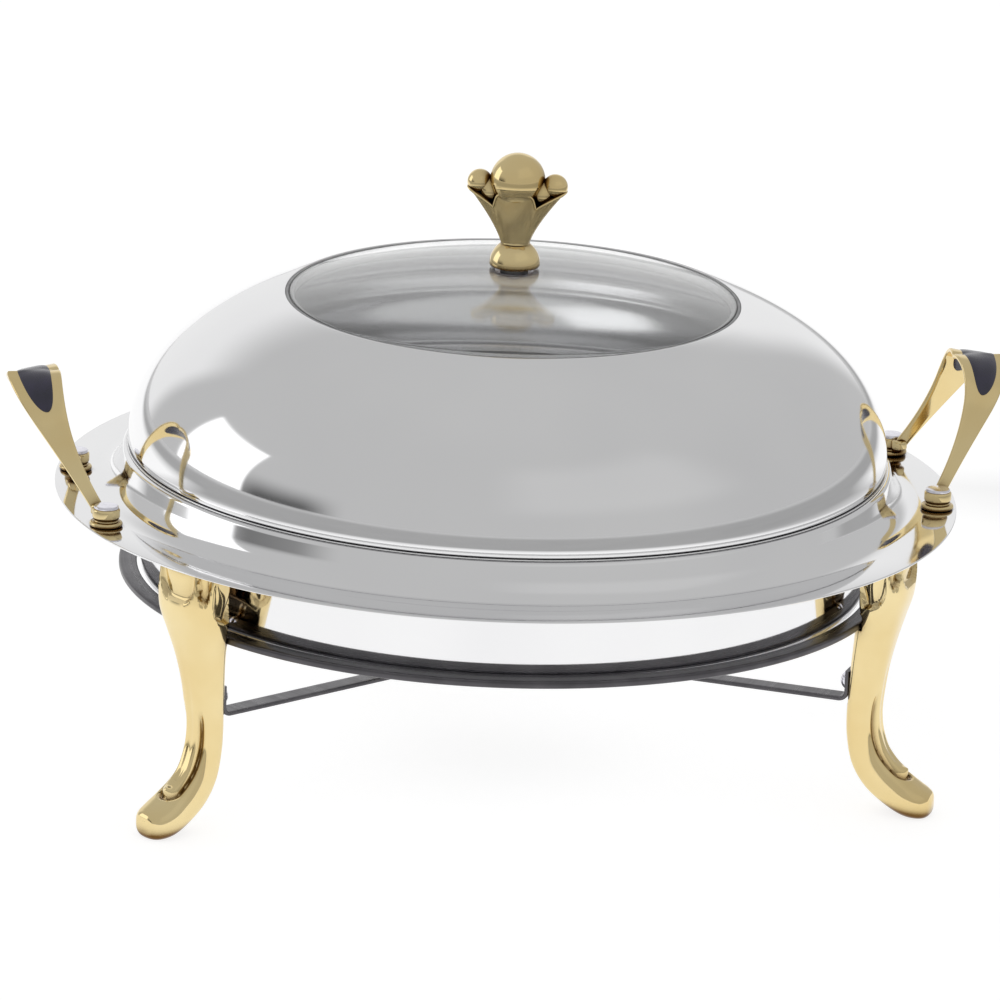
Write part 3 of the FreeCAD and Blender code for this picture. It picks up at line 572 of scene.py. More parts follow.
def wick_fibre():
    paint = Paint("wick_fibre")
    tangle = paint.noise(650, 6)
    paint.colours(tangle, (0.52, 0.49, 0.43), (0.86, 0.83, 0.76))
    paint.set(Roughness=0.95, Sheen_Weight=0.2)
    paint.bump((tangle, 0.5, 0.8), (paint.noise(2200, 3), 0.2, 0.5))
    return paint.material


def floor_paint():
    """White table with painted light: it glows round and behind the dish, which weakens the dish's shadow
    on it, and is greyer farther out.
    """
    paint = Paint("studio_floor")
    paint.colours(paint.noise(3, 2), (0.33, 0.33, 0.33), (0.37, 0.37, 0.37))
    paint.set(Roughness=0.85, Emission_Color=(1, 1, 1, 1))
    split = paint.nodes.new("ShaderNodeSeparateXYZ")
    paint.links.new(paint.place, split.inputs[0])
    round_dish = paint.nodes.new("ShaderNodeSeparateXYZ")
    paint.links.new(paint.axis_radius(), round_dish.inputs[0])
    # painted light: the floor glows strongly within about a metre of the dish's axis and behind it, from no
    # lamp
    near = paint.ranged(round_dish.outputs["X"], 0.80, 0.16, 0.50, 0.95)
    far = paint.ranged(round_dish.outputs["X"], 0.0, 0.33, 1.0, 6.0)
    behind = paint.ranged(split.outputs["Y"], 0.0, 0.80, 0.15, 0.50)
    aside = paint.maths("ABSOLUTE", split.outputs["X"])
    behind = paint.maths("MULTIPLY", behind, paint.ranged(aside, 1.0, 0.0, 0.8, 1.4))
    glow = paint.maths("MAXIMUM", paint.maths("MAXIMUM", near, far), behind)
    paint.links.new(glow, paint.shader.inputs["Emission Strength"])
    return paint.material


# ---- placing pieces ----------------------------------------------------------------------

MATERIALS = {}


def finish_piece(piece, body, slot, material, *nodes):
    """Gives a piece its material, its body and the CAD nodes that it stands for."""
    piece.data.materials.clear()
    piece.data.materials.append(MATERIALS[material])
    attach(piece, body)
    if nodes:
        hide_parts(*nodes)
    return piece


# ---- pans --------------------------------------------------------------------------------

def make_water_pan():
    floor = PAN_UNDERSIDE + PAN_SHEET / 2
    lip = PAN_LIP_TOP - PAN_SHEET / 2
    flange = lip - FLANGE_DROP
    lip_inner, lip_outer = PAN_LIP_RADII
    corners = [(0, floor), (PAN_FLOOR_RADIUS, floor), (lip_inner, lip), (lip_outer, lip),
               (SHOULDER_FOOT_RADIUS, flange), (FLANGE_RADIUS - PAN_SHEET / 2, flange)]
    outline = sheet_outline(corners, PAN_CORNER_RADII, PAN_SHEET)
    pan = lathe("water_pan_shell", outline, 256)
    finish_piece(pan, "water_pan", "polished_steel", "polished_steel", "water_pan")


def make_food_pan():
    floor = FOOD_UNDERSIDE + FOOD_SHEET / 2
    rim = PAN_LIP_TOP + FOOD_SHEET / 2
    edge = node_high("food_pan").x - FOOD_SHEET / 2
    corners = [(0, floor), (FOOD_FLOOR_RADIUS, floor), (FOOD_WALL_TOP_RADIUS, rim), (edge, rim)]
    pan = lathe("food_pan_shell", sheet_outline(corners, FOOD_CORNER_RADII, FOOD_SHEET), 256)
    finish_piece(pan, "food_pan", "polished_steel", "inside_steel", "food_pan")


# ---- lid ---------------------------------------------------------------------------------

def lid_skin(inset, low_z, steps=56):
    """Profile of one skin of the lid, from a height near the hem up to the window."""
    crown = LID_CROWN_HEIGHT - inset
    foot = LID_RADIUS - inset
    base = LID_FOOT + LID_BASE_RISE
    low = math.asin(((low_z - base) / crown) ** (LID_FULLNESS / 2))
    high = math.acos((WINDOW_EDGE_RADIUS / foot) ** (LID_FULLNESS / 2))
    points = []
    for step in range(steps + 1):
        t = low + (high - low) * step / steps
        radius = foot * math.cos(t) ** (2 / LID_FULLNESS)
        points.append((radius, base + crown * math.sin(t) ** (2 / LID_FULLNESS)))
    return points


def make_lid_shell():
    skin_foot = LID_FOOT + LID_SKIN_RISE
    hem_top = LID_FOOT + LID_HEM_HEIGHT
    hem_inner, hem_outer = LID_HEM_RADII
    soft = 0.35
    outer = lid_skin(0, skin_foot + soft)
    inner = lid_skin(LID_SHEET, hem_top)
    window_z = outer[-1][1]
    lip_inner = WINDOW_EDGE_RADIUS - LID_SHEET
    edge = []
    for step in range(5):
        angle = math.radians(60 + 120 * step / 4)
        radius = lip_inner + WINDOW_LIP_ROUND * (1 + math.cos(angle))
        edge.append((radius, window_z - WINDOW_LIP_ROUND * (1 - math.sin(angle))))
    lip_foot = window_z - WINDOW_LIP_DROP
    hem = [(hem_inner, hem_top)]
    for r, first in ((hem_inner + LID_HEM_ROUND, 180), (hem_outer - LID_HEM_ROUND, 270)):
        for step in range(6):
            angle = math.radians(first + 90 * step / 5)
            rise = LID_HEM_ROUND * (1 + math.sin(angle))
            hem.append((r + LID_HEM_ROUND * math.cos(angle), LID_FOOT + rise))
    hem += [(hem_outer, skin_foot), (LID_RADIUS - soft, skin_foot)]
    hem += [(LID_RADIUS - soft * 0.3, skin_foot + soft * 0.3)]
    outline = outer[:-1] + edge + [(lip_inner, lip_foot), (WINDOW_EDGE_RADIUS, lip_foot)]
    outline += [(WINDOW_EDGE_RADIUS, inner[-1][1])] + inner[::-1][1:] + hem
    lid = lathe("lid_dome", outline, 256)
    finish_piece(lid, "lid", "polished_steel", "polished_steel", "lid_shell")


def glass_ball():
    """Radius of the glass dome's upper surface."""
    return (GLASS_RADIUS ** 2 + GLASS_RISE ** 2) / (2 * GLASS_RISE)


def dome_height(radius, inset=0.0):
    ball = glass_ball()
    return GLASS_TOP - ball + math.sqrt((ball - inset) ** 2 - radius ** 2)


def make_window_glass():
    hole = GLASS_HOLE_RADIUS
    soft = GLASS_EDGE_ROUND
    steps = 40
    upper = [hole + (GLASS_RADIUS - soft - hole) * k / steps for k in range(steps + 1)]
    outline = [(r, dome_height(r)) for r in upper]
    rim_z = dome_height(GLASS_RADIUS - soft) - soft
    for angle in (0.5, 1.0, math.pi / 2):
        outline.append((GLASS_RADIUS - soft + soft * math.sin(angle), rim_z + soft * math.cos(angle)))
    outline += [(GLASS_RADIUS, dome_height(GLASS_RADIUS, GLASS_THICKNESS) + 0.4)]
    outline += [(r, dome_height(r, GLASS_THICKNESS)) for r in reversed(upper)]
    glass = lathe("window_dome_glass", outline, 192)
    finish_piece(glass, "lid", "clear_glass", "clear_glass", "window_glass")


def make_window_fittings():
    seal_low = node_low("window_seal").z
    seal_high = node_high("window_seal").z
    seal_outer = node_high("window_seal").x
    inner = GLASS_RADIUS - SEAL_WIDTH
    edge = GLASS_RADIUS + 0.05
    under = dome_height(edge, GLASS_THICKNESS) - 0.1
    outline = [(inner, seal_low), (seal_outer, seal_low), (seal_outer, seal_high - 0.3)]
    outline += [(seal_outer - 0.4, seal_high), (edge + 0.3, seal_high), (edge, seal_high - 0.3)]
    outline += [(edge, under), (inner, dome_height(inner, GLASS_THICKNESS) - 0.1)]
    seal = lathe("window_seal_ring", outline, 192)
    finish_piece(seal, "lid", "silicone", "soft_silicone", "window_seal")

    low = node_low("window_retainer").z
    high = node_high("window_retainer").z
    half = RETAINER_SHEET / 2
    wall = node_high("window_retainer").x - half
    corners = [(GLASS_RADIUS - RETAINER_WIDTH, low + half), (wall, low + half), (wall, high)]
    retainer = lathe("window_retaining_ring", sheet_outline(corners, [0.6], RETAINER_SHEET), 192)
    finish_piece(retainer, "lid", "polished_steel", "inside_steel", "window_retainer")


# ---- knob --------------------------------------------------------------------------------

def knob_outline(share):
    """Level outline of the knob's flare at a share of its height, from neck to petal tips.

    The front and back panels stand between two creases, and a petal sweeps out to each side.
    """
    neck = KNOB_NECK_RADIUS
    crease_x = neck * 0.80 + (KNOB_CREASE[0] - neck * 0.80) * share ** 1.1
    crease_y = neck * 0.66 + (KNOB_CREASE[1] - neck * 0.66) * share
    panel_y = neck * 0.98 + (KNOB_PANEL_DEPTH - neck * 0.98) * share
    tip_x = neck + (KNOB_PETAL_REACH - neck) * share ** 1.35
    bulge = neck * 0.62 + (KNOB_PETAL_BULGE - neck * 0.62) * share
    quarter = []
    for t in np.sin(np.linspace(0, math.pi / 2, 13))[:-1]:
        quarter.append((crease_x * t, panel_y * (1 - t ** 2 * (1 - crease_y / panel_y))))
    for k in range(16):
        angle = math.pi / 2 * k / 15
        x = crease_x + (tip_x - crease_x) * math.sin(angle) ** 0.9
        y = crease_y * math.cos(angle) ** 0.75
        y += (bulge - crease_y) * math.sin(2 * angle) * 0.5
        quarter.append((x, max(y, 0.0)))
    right = quarter + [(x, -y) for x, y in reversed(quarter[:-1])][:-1]
    return right + [(-x, -y) for x, y in right]


def rim_drop(x):
    """How far the flare's top edge lies below its highest point, at a distance from the middle."""
    crease = KNOB_CREASE[0]
    panel_drop, notch_drop, tip_drop = 1.4, 8.6, 0.4
    if abs(x) < crease:
        return panel_drop + (notch_drop - panel_drop) * (abs(x) / crease) ** 9
    along_petal = (abs(x) - crease) / (KNOB_PETAL_REACH - crease)
    return notch_drop - (notch_drop - tip_drop) * along_petal ** 0.85


def make_knob_ball():
    """Ball foot with a small collar on top, open for the screw."""
    base = KNOB_BASE
    ball = KNOB_BALL_RADIUS
    ball_z = base + KNOB_BALL_RISE
    steps = 22
    last = math.acos(KNOB_BALL_TOP_RADIUS / ball)
    outline = [(KNOB_SCREW_HOLE, base), (ball - 0.5, base), (ball - 0.1, base + 0.4)]
    for step in range(steps + 1):
        angle = last * step / steps
        outline.append((ball * math.cos(angle), ball_z + ball * math.sin(angle)))
    collar_top = ball_z + 11.8
    outline += [(KNOB_NECK_RADIUS + 0.3, collar_top - 0.9), (KNOB_NECK_RADIUS, collar_top)]
    outline.append((KNOB_SCREW_HOLE, collar_top))
    return lathe("knob_ball", outline, 96)


def make_knob():
    gold = [make_knob_ball()]
    low, rim = (KNOB_BASE + rise for rise in KNOB_FLARE_RISE)
    loops = []
    rows = 30
    top_outline = knob_outline(1.0)
    for row in range(rows + 1):
        share = row / rows
        loop = []
        for (x, y), (top_x, _) in zip(knob_outline(share), top_outline):
            top = rim - rim_drop(top_x)
            loop.append((x, y, low + (top - low) * share))
        loops.append(loop)
    inner = [(x * 0.9, y * 0.86, z - 0.2) for x, y, z in loops[-1]]
    well = [(x * 0.78, y * 0.7, z - 4.0) for x, y, z in loops[-1]]
    gold.append(loft("knob_flare", loops + [inner, well], 50))
    rim_points = [Vector(p) for p in loops[-1]]
    gold.append(rim_tube("knob_rim", rim_points, KNOB_RIM_BEAD))

    balls = [("knob_crown", KNOB_CROWN_RADIUS, 0.0, KNOB_TOP - KNOB_CROWN_RADIUS)]
    for radius, reach, rise in (KNOB_SIDE_BALL, KNOB_BRIDGE_BALL):
        balls += [("knob_side_ball", radius, x, KNOB_BASE + rise) for x in (-reach, reach)]
    for name, radius, x, z in balls:
        angles = np.linspace(-math.pi / 2, math.pi / 2, 49)
        outline = [(radius * math.cos(a), z + radius * math.sin(a)) for a in angles]
        outline[0] = (0, z - radius)
        outline[-1] = (0, z + radius)
        gold.append(lathe(name, outline, 72, centre=(x, 0)))
    knob = turn(join("lid_knob_casting", gold), KNOB_TURN)
    finish_piece(knob, "lid", "gold_plate", "gold_plate", "lid_knob")


def rim_tube(name, points, radius, sides=8):
    """Round bead along a closed loop of points."""
    loops = []
    count = len(points)
    for k, point in enumerate(points):
        ahead = (points[(k + 1) % count] - points[k - 1]).normalized()
        out = ahead.cross(Vector((0, 0, 1))).normalized()
        up = out.cross(ahead).normalized()
        loops.append([point + out * radius * math.cos(2 * math.pi * s / sides)
                      + up * radius * math.sin(2 * math.pi * s / sides) for s in range(sides)])
    vertices = [tuple(p) for loop in loops for p in loop]
    faces = []
    for row in range(count):
        after = (row + 1) % count
        for s in range(sides):
            n = (s + 1) % sides
            faces.append((row * sides + s, row * sides + n, after * sides + n, after * sides + s))
    return add_mesh(name, vertices, faces, 60)


# ---- handles -----------------------------------------------------------------------------

def bow_height():
    return HANDLE_APEX[1] - HANDLE_STRAP_Z


def lean_point(share):
    """Point over the middle of the handle at +X, at a share of the bow's height."""
    foot_x = HANDLE_LUG_PLACE[0]
    left = max(1 - share, 0.0)
    reach = (HANDLE_APEX[0] - foot_x) * (1 - left ** HANDLE_LEAN_EASING)
    return np.array([foot_x + reach, 0, HANDLE_STRAP_Z + bow_height() * share])


def lean_direction(share):
    """Upward direction along the leaning handle at a share of its height."""
    left = max(1 - share, 0.0)
    slope = (HANDLE_APEX[0] - HANDLE_LUG_PLACE[0]) * HANDLE_LEAN_EASING * left ** (HANDLE_LEAN_EASING - 1)
    return unit(np.array([slope, 0, bow_height()]))


def bow_station(share):
    """Side, height and outward angle at a share of the way along the bow, and half its length.

    A share of -1 or 1 is a foot and 0 is the apex.
    """
    foot_side = HANDLE_LUG_PLACE[1]
    centre = bow_height() - HANDLE_BOW_RADIUS
    reach = math.hypot(foot_side, centre)
    first = math.acos(HANDLE_BOW_RADIUS / reach) - math.atan2(centre, foot_side)
    side = HANDLE_BOW_RADIUS * math.cos(first)
    rise = centre + HANDLE_BOW_RADIUS * math.sin(first)
    leg = math.hypot(foot_side - side, rise)
    bow = HANDLE_BOW_RADIUS * (math.pi / 2 - first)
    travel = abs(share) * (leg + bow)
    if travel < bow:
        angle = math.pi / 2 - travel / HANDLE_BOW_RADIUS
        place = (HANDLE_BOW_RADIUS * math.cos(angle), centre + HANDLE_BOW_RADIUS * math.sin(angle))
    else:
        angle = first
        part = (travel - bow) / leg
        place = (side + (foot_side - side) * part, rise * (1 - part))
    if share < 0:
        return -place[0], place[1], math.pi - angle, leg + bow
    return place[0], place[1], angle, leg + bow


def bow_point(share, across, lift):
    """Point on the strap: lift is along its outward face, across is along its width."""
    side, height, angle, _ = bow_station(share)
    upward = lean_direction(height / bow_height())
    width_way = np.array([upward[2], 0, -upward[0]])
    sideways = np.array([0, 1, 0])
    outward = sideways * math.cos(angle) + upward * math.sin(angle)
    return lean_point(height / bow_height()) + sideways * side + width_way * across + outward * lift


def strap_width(share):
    """Width of the strap at a share of the way along it, which grows with its height."""
    risen = max(bow_station(share)[1] / bow_height(), 0.0)
    foot_width, apex_width = HANDLE_WIDTHS
    return foot_width + (apex_width - foot_width) * risen ** HANDLE_WIDTH_EASING


def strap_section(width, thickness):
    """Rounded flat section with flat faces."""
    points = []
    corner = thickness * 0.38
    half_w = width / 2 - corner
    half_t = thickness / 2 - corner
    signs = ((1, 1), (-1, 1), (-1, -1), (1, -1))
    for turn_index, (sign_w, sign_t) in enumerate(signs):
        cx, cy, first = sign_w * half_w, sign_t * half_t, 90 * turn_index
        for step in range(5):
            angle = math.radians(first + 90 * step / 4)
            points.append((cx + corner * math.cos(angle), cy + corner * math.sin(angle)))
        if first in (0, 180):
            for k in range(1, 6):
                points.append((cx * (1 - 2 * k / 6), cy + (corner if first == 0 else -corner)))
    return points


def make_handle(side_name, sign):
    loops = []
    for share in np.linspace(-1, 1, 121):
        section = strap_section(strap_width(share), HANDLE_STRAP)
        loops.append([bow_point(share, across, lift) for across, lift in section])
    parts = [loft("strap", loops, 50)]
    for y in (-FOOT_Y, FOOT_Y):
        disc = rounded_block(0, HANDLE_DISC_RADIUS, FOOT_HIGH, DISC_TOP, DISC_ROUND)
        parts.append(lathe("disc", disc, 64, centre=(FOOT_X, y)))
    lug_x, lug_y = HANDLE_LUG_PLACE
    for y in (-lug_y, lug_y):
        lug = rounded_block(0, HANDLE_LUG_RADIUS, FOOT_HIGH, DISC_TOP, DISC_ROUND)
        parts.append(lathe("lug", lug, 48, centre=(lug_x, y)))
    handle = join("handle_" + side_name + "_strap", parts)
    grips = [make_grip(side_name, face) for face in ("outer", "inner")]
    if sign < 0:
        for piece in [handle] + grips:
            turn(piece, 180)
    finish_piece(handle, "water_pan", "gold_plate", "gold_plate", "handle_" + side_name)
    for piece, face in zip(grips, ("outer", "inner")):
        finish_piece(piece, "water_pan", "grip_inlay", "grip_resin", "grip_" + face + "_" + side_name)


def make_grip(side_name, face):
    """Domed pad inlaid over the top of the bow, with rounded ends."""
    sign = 1 if face == "outer" else -1
    length = bow_station(1)[3]
    reach = GRIP_HALF_LENGTH / length
    loops = []
    for u in np.sin(np.linspace(-math.pi / 2, math.pi / 2, 61)):
        share = u * reach
        end = max(1 - abs(u) ** 3.2, 0.0) ** 0.5
        half = max(GRIP_WIDTH / 2 * end * (1 - 0.22 * abs(u)), 0.05)
        loop = []
        for v in np.linspace(-1, 1, 17):
            crown = (1 - v ** 4) * (0.35 + 0.65 * end)
            loop.append(bow_point(share, half * v, sign * (HANDLE_STRAP / 2 + GRIP_RISE * crown)))
        for v in (0.9, 0.0, -0.9):
            loop.append(bow_point(share, half * v, sign * (HANDLE_STRAP / 2 - GRIP_SINK)))
        loops.append(loop)
    return loft("grip_" + face + "_" + side_name + "_pad", loops, 60)


def make_handle_feet():
    """Round plates with a waist under the handle discs, and the screws through them."""
    bead = 1.3
    waist = FOOT_HIGH - 0.9
    plate = [(0, FOOT_LOW), (FOOT_PLATE_RADIUS - bead, FOOT_LOW)]
    for angle in np.linspace(-math.pi / 2, math.pi / 2, 9):
        radius = FOOT_PLATE_RADIUS - bead + bead * math.cos(angle)
        plate.append((radius, FOOT_LOW + bead + bead * math.sin(angle)))
    plate += [(6.2, waist - 0.3), (6.0, waist + 0.2), (6.4, FOOT_HIGH), (0, FOOT_HIGH)]
    cap = rounded_block(0, SCREW_CAP_RADIUS, DISC_TOP - 0.4, SCREW_TOP, 0.8)
    shank = rounded_block(0, SCREW_SHANK_RADIUS, node_low("handle_screws").z, DISC_TOP, 0.3)
    feet = []
    screws = []
    for x in (-FOOT_X, FOOT_X):
        for y in (-FOOT_Y, FOOT_Y):
            feet.append(lathe("foot", plate, 64, centre=(x, y)))
            screws.append(lathe("cap", cap, 64, centre=(x, y)))
            screws.append(lathe("shank", shank, 32, centre=(x, y)))
    finish_piece(join("handle_foot_plates", feet), "water_pan", "gold_plate", "gold_plate", "handle_feet")
    screw_set = join("handle_screw_caps", screws)
    finish_piece(screw_set, "water_pan", "fastener_steel", "fastener_steel", "handle_screws")


# ---- legs --------------------------------------------------------------------------------

def leg_stations(count):
    """Leg sections at even steps along a smooth curve through the driving sections."""
    table = np.array(LEG_SECTIONS)
    padded = np.vstack([2 * table[0] - table[1], table, 2 * table[-1] - table[-2]])
    out = []
    for place in np.linspace(0, len(table) - 1, count):
        index = min(int(place), len(table) - 2)
        t = place - index
        a, b, c, d = padded[index:index + 4]
        out.append(0.5 * (2 * b + (c - a) * t + (2 * a - 5 * b + 4 * c - d) * t ** 2
                          + (3 * b - a - 3 * c + d) * t ** 3))
    return np.array(out)


def capital_scoop(angle, z):
    """Depth of the thumbnail-shaped scoops round the top of the leg."""
    depth = np.zeros_like(angle)
    for middle, half, bottom in LEG_SCOOPS:
        across = np.abs(np.abs(angle) - middle) / half
        edge = bottom + 9.0 * across ** 3
        inside = smoothstep(0.0, 2.2, z - edge) * (across < 1) * (1 - across ** 6)
        fade = 1 - 0.8 * smoothstep(3.0, 17.0, z - edge)
        depth = np.maximum(depth, LEG_SCOOP_DEPTH * inside * fade)
    return depth


def toe_relief(across, travel, end):
    """Grooves either side of a raised tongue on the instep, and the scroll at its end.

    Travel is the distance down the front of the leg, and end is where the tongue stops.
    """
    half = TONGUE_HALF_WIDTH
    start = end - TONGUE_LENGTH
    round_at = end - half
    past = np.maximum(travel - round_at, 0)
    edge = np.hypot(across, past) - half
    begin = smoothstep(start, start + 12, travel)
    depth, width = TONGUE_GROOVE
    groove = depth * np.exp(-(edge / width) ** 2) * begin * (travel < end + 6)
    tongue = TONGUE_RISE * smoothstep(-0.6, -2.6, edge) * smoothstep(start + 8, start + 30, travel)
    scroll = SCROLL_RISE * np.exp(-(across ** 2 + (travel - end + 3.2) ** 2) / 2.4 ** 2)
    return tongue + scroll - groove


def back_flats(height):
    """Radius that the back of a leg is cut back to, at each height, and 0 where it isn't cut."""
    edge = 0.1
    low, bend, high = LEG_LEDGE_HEIGHTS
    outer, inner = LEG_LEDGE_RADII
    ledge = np.interp(height, [low - edge, low, bend, high, high + edge], [0, outer, outer, inner, 0])
    low, high = LEG_SEAT_HEIGHTS
    seat = np.interp(height, [low - edge, low, high, high + edge], [0, LEG_SEAT_RADIUS, LEG_SEAT_RADIUS, 0])
    return np.maximum(ledge, seat)


def make_leg(name, angle_about):
    around = 112
    stations = leg_stations(190)
    groove_depth, groove_width = SHIN_GROOVE
    angle = np.linspace(-math.pi, math.pi, around, endpoint=False)
    c, s = np.cos(angle), np.sin(angle)
    front = np.cumsum(np.r_[0, np.hypot(*np.diff(
        [stations[:, 0] + stations[:, 3] / 2 * np.cos(np.radians(stations[:, 2])),
         stations[:, 1] + stations[:, 3] / 2 * np.sin(np.radians(stations[:, 2]))], axis=1))])
    end = front[-1] - TONGUE_STOP
    loops = []
    flat = 2 / LEG_SQUARENESS
    for (radius, z, tilt, depth, width), travel in zip(stations, front):
        along = np.sign(c) * np.abs(c) ** flat * depth / 2
        across = np.sign(s) * np.abs(s) ** flat * width / 2
        normal_a = np.sign(c) * np.abs(c) ** (2 - flat) / depth
        normal_b = np.sign(s) * np.abs(s) ** (2 - flat) / width
        size = np.hypot(normal_a, normal_b)
        lean = math.radians(tilt)
        height = z + along * math.sin(lean)
        relief = np.where(c > 0, toe_relief(across, travel, end), 0)
        shin = (c > 0) * smoothstep(60, 75, travel)
        shin_groove = groove_depth * np.exp(-(across / groove_width) ** 2) * shin
        push = relief - capital_scoop(np.degrees(angle), height) - shin_groove * (travel < end - 10)
        along = along + push * normal_a / size
        across = across + push * normal_b / size
        x = radius + along * math.cos(lean)
        height = z + along * math.sin(lean)
        x = np.maximum(x, back_flats(height))
        height = np.maximum(height, 0)
        loops.append(np.stack([x, across, height], axis=1))
    leg = loft("leg_" + name + "_casting", loops, 45)
    turn(leg, angle_about)
    finish_piece(leg, "stand", "gold_plate", "gold_plate", "leg_" + name)


# ---- stand and burner --------------------------------------------------------------------

def make_support_ring():
    outline = rounded_block(RING_OUTER - RING_WIDTH, RING_OUTER, RING_LOW, RING_HIGH, RING_ROUND)
    ring = lathe("support_ring_bar", outline, 256)
    finish_piece(ring, "stand", "stand_steel", "stand_steel", "support_ring")


def make_brace(name, angle):
    """Flat bar with soft edges, bent up where it meets the leg."""
    seat = LEG_SEAT_RADIUS - BRACE_THICKNESS / 2
    low = node_low("brace_" + name).z + BRACE_THICKNESS / 2
    high = node_high("brace_" + name).z
    points, normals = rounded_path([(BRACE_START, low), (seat, low), (seat, high - 0.4)], [BRACE_BEND])
    loops = []
    for point, normal in zip(points, normals):
        section = strap_section(BRACE_WIDTH, BRACE_THICKNESS)
        loops.append([(point[0] + normal[0] * lift, across, point[1] + normal[1] * lift)
                      for across, lift in section])
    bar = loft("brace_" + name + "_bar", loops, 40)
    turn(bar, angle)
    finish_piece(bar, "stand", "stand_steel", "stand_steel", "brace_" + name)


def make_burner():
    floor = HOLDER_LOW + HOLDER_SHEET / 2
    rim = node_high("burner_holder").z - HOLDER_SHEET / 2
    corners = [(HOLDER_HOLE, floor), (HOLDER_WALL, floor), (HOLDER_WALL, rim), (HOLDER_RADIUS, rim)]
    holder = lathe("burner_holder_cup", sheet_outline(corners, [2, 1.5], HOLDER_SHEET), 128)
    finish_piece(holder, "stand", "stand_steel", "stand_steel", "burner_holder")

    half = BURNER_SHEET / 2
    wall = CUP_RADIUS - half
    corners = [(0, CUP_LOW + half), (wall, CUP_LOW + half), (wall, CUP_HIGH)]
    cup = lathe("burner_cup_shell", sheet_outline(corners, [2], BURNER_SHEET, round_end=False), 128)
    finish_piece(cup, "burner", "burner_steel", "burner_steel", "burner_cup")

    skirt = BURNER_TOP_RADIUS - half
    top = BURNER_TOP_HIGH - half
    corners = [(FLAME_HOLE, top), (skirt, top), (skirt, node_low("burner_top").z + half)]
    lid = lathe("burner_top_plate", sheet_outline(corners, [0.6], BURNER_SHEET), 128)
    finish_piece(lid, "burner", "burner_steel", "burner_steel", "burner_top")

    wick = lathe("burner_wick_pad", rounded_block(0, WICK_RADIUS, WICK_LOW, WICK_HIGH, WICK_ROUND), 96)
    finish_piece(wick, "burner", "wick_fibre", "wick_fibre", "burner_wick")


KEPT_NODES = {
    "ring_screws": "fastener_steel",
    "brace_screws": "fastener_steel",
    "holder_rivets": "fastener_steel",
    "handle_nuts": "fastener_steel",
    "knob_screw": "fastener_steel",
    "knob_washer": "fastener_steel",
    "cover_pivot": "fastener_steel",
    "knob_seals": "soft_silicone",
    "burner_cover": "burner_steel",
}


def paint_kept_nodes():
    """Gives the CAD pieces that stay visible their materials."""
    for node, material in KEPT_NODES.items():
        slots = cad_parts[node].material_slots
        for slot in slots:
            slot.material = MATERIALS[material]


# ---- studio ------------------------------------------------------------------------------

def place_camera():
    """Camera at the photograph's viewing angle: long lens, a little above the dish."""
    lens_ratio = 9.001
    distance = 4494
    elevation = math.radians(16.4)
    azimuth = math.radians(-90 - 11.832)
    roll = math.radians(2.217)
    shift_right = 2.68
    aim = Vector((0, 0, 134.0))
    back = Vector((math.cos(azimuth) * math.cos(elevation), math.sin(azimuth) * math.cos(elevation),
                   math.sin(elevation)))
    right = (-back).cross(Vector((0, 0, 1))).normalized()
    up = right.cross(-back)
    rolled_right = math.cos(roll) * right + math.sin(roll) * up
    rolled_up = math.cos(roll) * up - math.sin(roll) * right
    spot = aim + back * distance - rolled_right * shift_right
    data = bpy.data.cameras.new("camera")
    data.sensor_width = 36
    data.lens = 36 * lens_ratio
    data.clip_end = 100
    camera = bpy.data.objects.new("camera", data)
    bpy.context.collection.objects.link(camera)
    turned = Matrix((rolled_right, rolled_up, back)).transposed().to_4x4()
    camera.matrix_world = Matrix.Translation(spot * MM) @ turned
    bpy.context.scene.camera = camera


def softbox(name, place, target, size, power):
    """Square area light that faces a target, all in metres and watts."""
    data = bpy.data.lights.new(name, "AREA")
    data.size = size
    data.energy = power
    lamp = bpy.data.objects.new(name, data)
    lamp.location = place
    lamp.rotation_euler = (Vector(target) - Vector(place)).to_track_quat("-Z", "Y").to_euler()
    lamp.visible_glossy = False
    bpy.context.collection.objects.link(lamp)


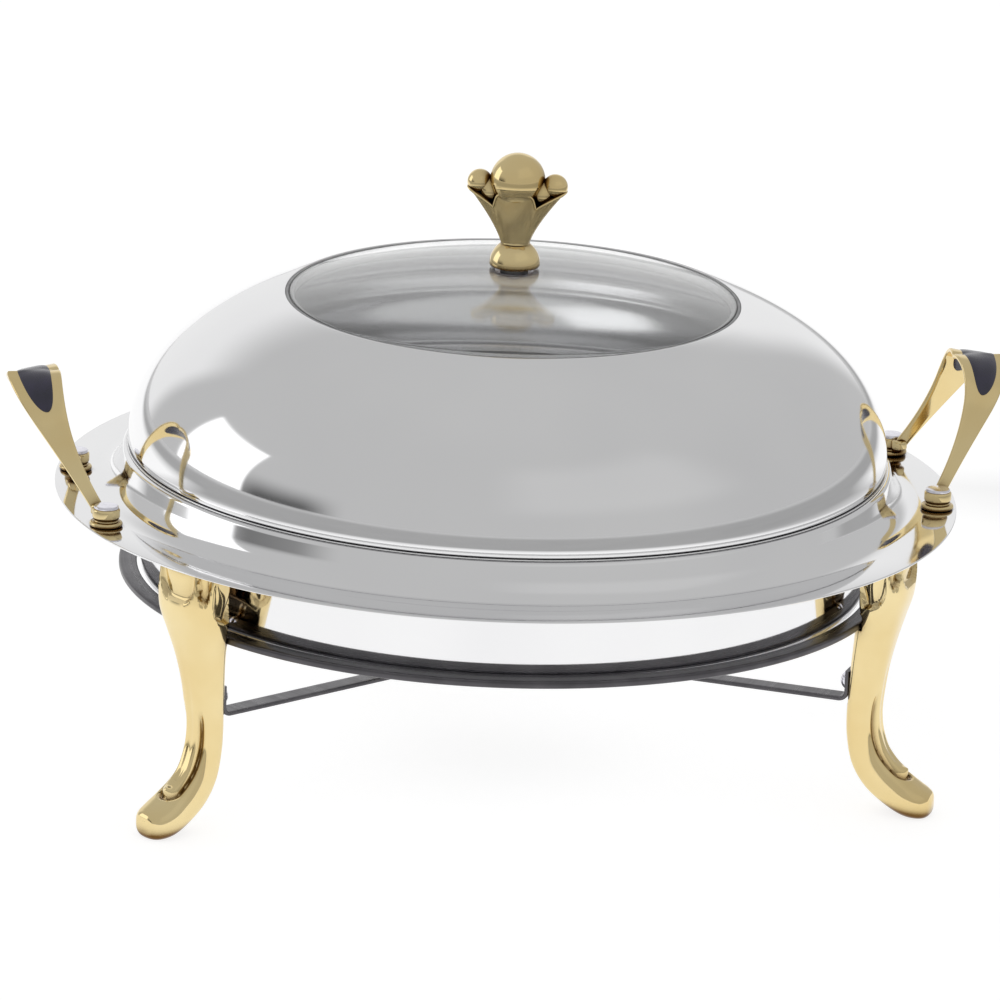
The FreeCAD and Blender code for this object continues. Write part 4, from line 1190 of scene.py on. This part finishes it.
class Sky:
    """Studio surroundings as soft-edged patches of brightness, placed by direction."""

    def __init__(self, base):
        world = bpy.data.worlds.new("studio")
        world.use_nodes = True
        bpy.context.scene.world = world
        self.nodes = world.node_tree.nodes
        self.links = world.node_tree.links
        self.way = self.nodes.new("ShaderNodeTexCoord").outputs["Generated"]
        height = self.nodes.new("ShaderNodeSeparateXYZ")
        self.links.new(self.way, height.inputs[0])
        self.elevation = self.maths("ARCSINE", height.outputs["Z"])
        self.level = base

    def maths(self, operation, *values):
        return add_maths(self.nodes, self.links, operation, values)

    def eased(self, value, low, high, from_degrees, to_degrees):
        node = self.nodes.new("ShaderNodeMapRange")
        node.interpolation_type = "SMOOTHSTEP"
        node.inputs["From Min"].default_value = math.radians(from_degrees)
        node.inputs["From Max"].default_value = math.radians(to_degrees)
        node.inputs["To Min"].default_value = low
        node.inputs["To Max"].default_value = high
        self.links.new(value, node.inputs["Value"])
        return node.outputs["Result"]

    def along(self, degrees):
        """How far the direction points towards a compass angle."""
        node = self.nodes.new("ShaderNodeVectorMath")
        node.operation = "DOT_PRODUCT"
        node.inputs[1].default_value = (math.cos(math.radians(degrees)), math.sin(math.radians(degrees)), 0)
        self.links.new(self.way, node.inputs[0])
        return node.outputs["Value"]

    def patch(self, level, compass, half_width, soft, low, high, soft_height):
        """Blends a patch's level over the rest, all its angles in degrees."""
        offset = self.maths("ARCTAN2", self.along(compass + 90), self.along(compass))
        inside = self.eased(self.maths("ABSOLUTE", offset), 1.0, 0.0, half_width, half_width + soft)
        over = self.eased(self.elevation, 0.0, 1.0, low - soft_height, low)
        under = self.eased(self.elevation, 1.0, 0.0, high, high + soft_height)
        mask = self.maths("MULTIPLY", inside, self.maths("MULTIPLY", over, under))
        kept = self.maths("MULTIPLY", self.maths("SUBTRACT", 1.0, mask), self.level)
        self.level = self.maths("ADD", kept, self.maths("MULTIPLY", mask, level))

    def finish(self):
        self.links.new(self.level, self.nodes["Background"].inputs["Color"])


def make_sky():
    """Grey studio, a little lighter at the front right, with a white wall behind, and with a tall
    softbox and a dark flag at the left."""
    sky = Sky(0.55)
    sky.patch(0.60, -62, 25, 25, 30, 52, 16)
    sky.patch(0.88, 88, 24, 10, -40, 20, 18)
    sky.patch(0.08, -173, 7, 17, -40, -2, 20)
    sky.patch(1.35, 157, 15, 1.5, -40, 29, 2)
    sky.finish()


def make_stage():
    half = 30000
    corners = [(-half, -half, 0), (half, -half, 0), (half, half, 0), (-half, half, 0)]
    floor = add_mesh("studio_floor_sheet", corners, [(0, 1, 2, 3)])
    floor.data.materials.append(floor_paint())


def light_studio():
    softbox("key", (-1.6, -1.4, 2.6), (0, 0, 0.15), 1.4, 5)
    scene = bpy.context.scene
    scene.view_settings.view_transform = "Standard"
    scene.cycles.glossy_bounces = 8
    scene.cycles.transmission_bounces = 12
    scene.cycles.max_bounces = 16


# ---- build -------------------------------------------------------------------------------

def main():
    place_camera()
    makers = (polished_steel, inside_steel, stand_steel, fastener_steel, gold_plate, grip_resin,
              clear_glass, soft_silicone, burner_steel, wick_fibre)
    for maker in makers:
        MATERIALS[maker.__name__] = maker()
    make_water_pan()
    make_food_pan()
    make_lid_shell()
    make_window_glass()
    make_window_fittings()
    make_knob()
    for side_name, sign in (("left", -1), ("right", 1)):
        make_handle(side_name, sign)
    make_handle_feet()
    for name, angle in LEG_ANGLES.items():
        make_leg(name, angle)
        make_brace(name, angle)
    make_support_ring()
    make_burner()
    paint_kept_nodes()
    make_stage()
    make_sky()
    light_studio()


main()
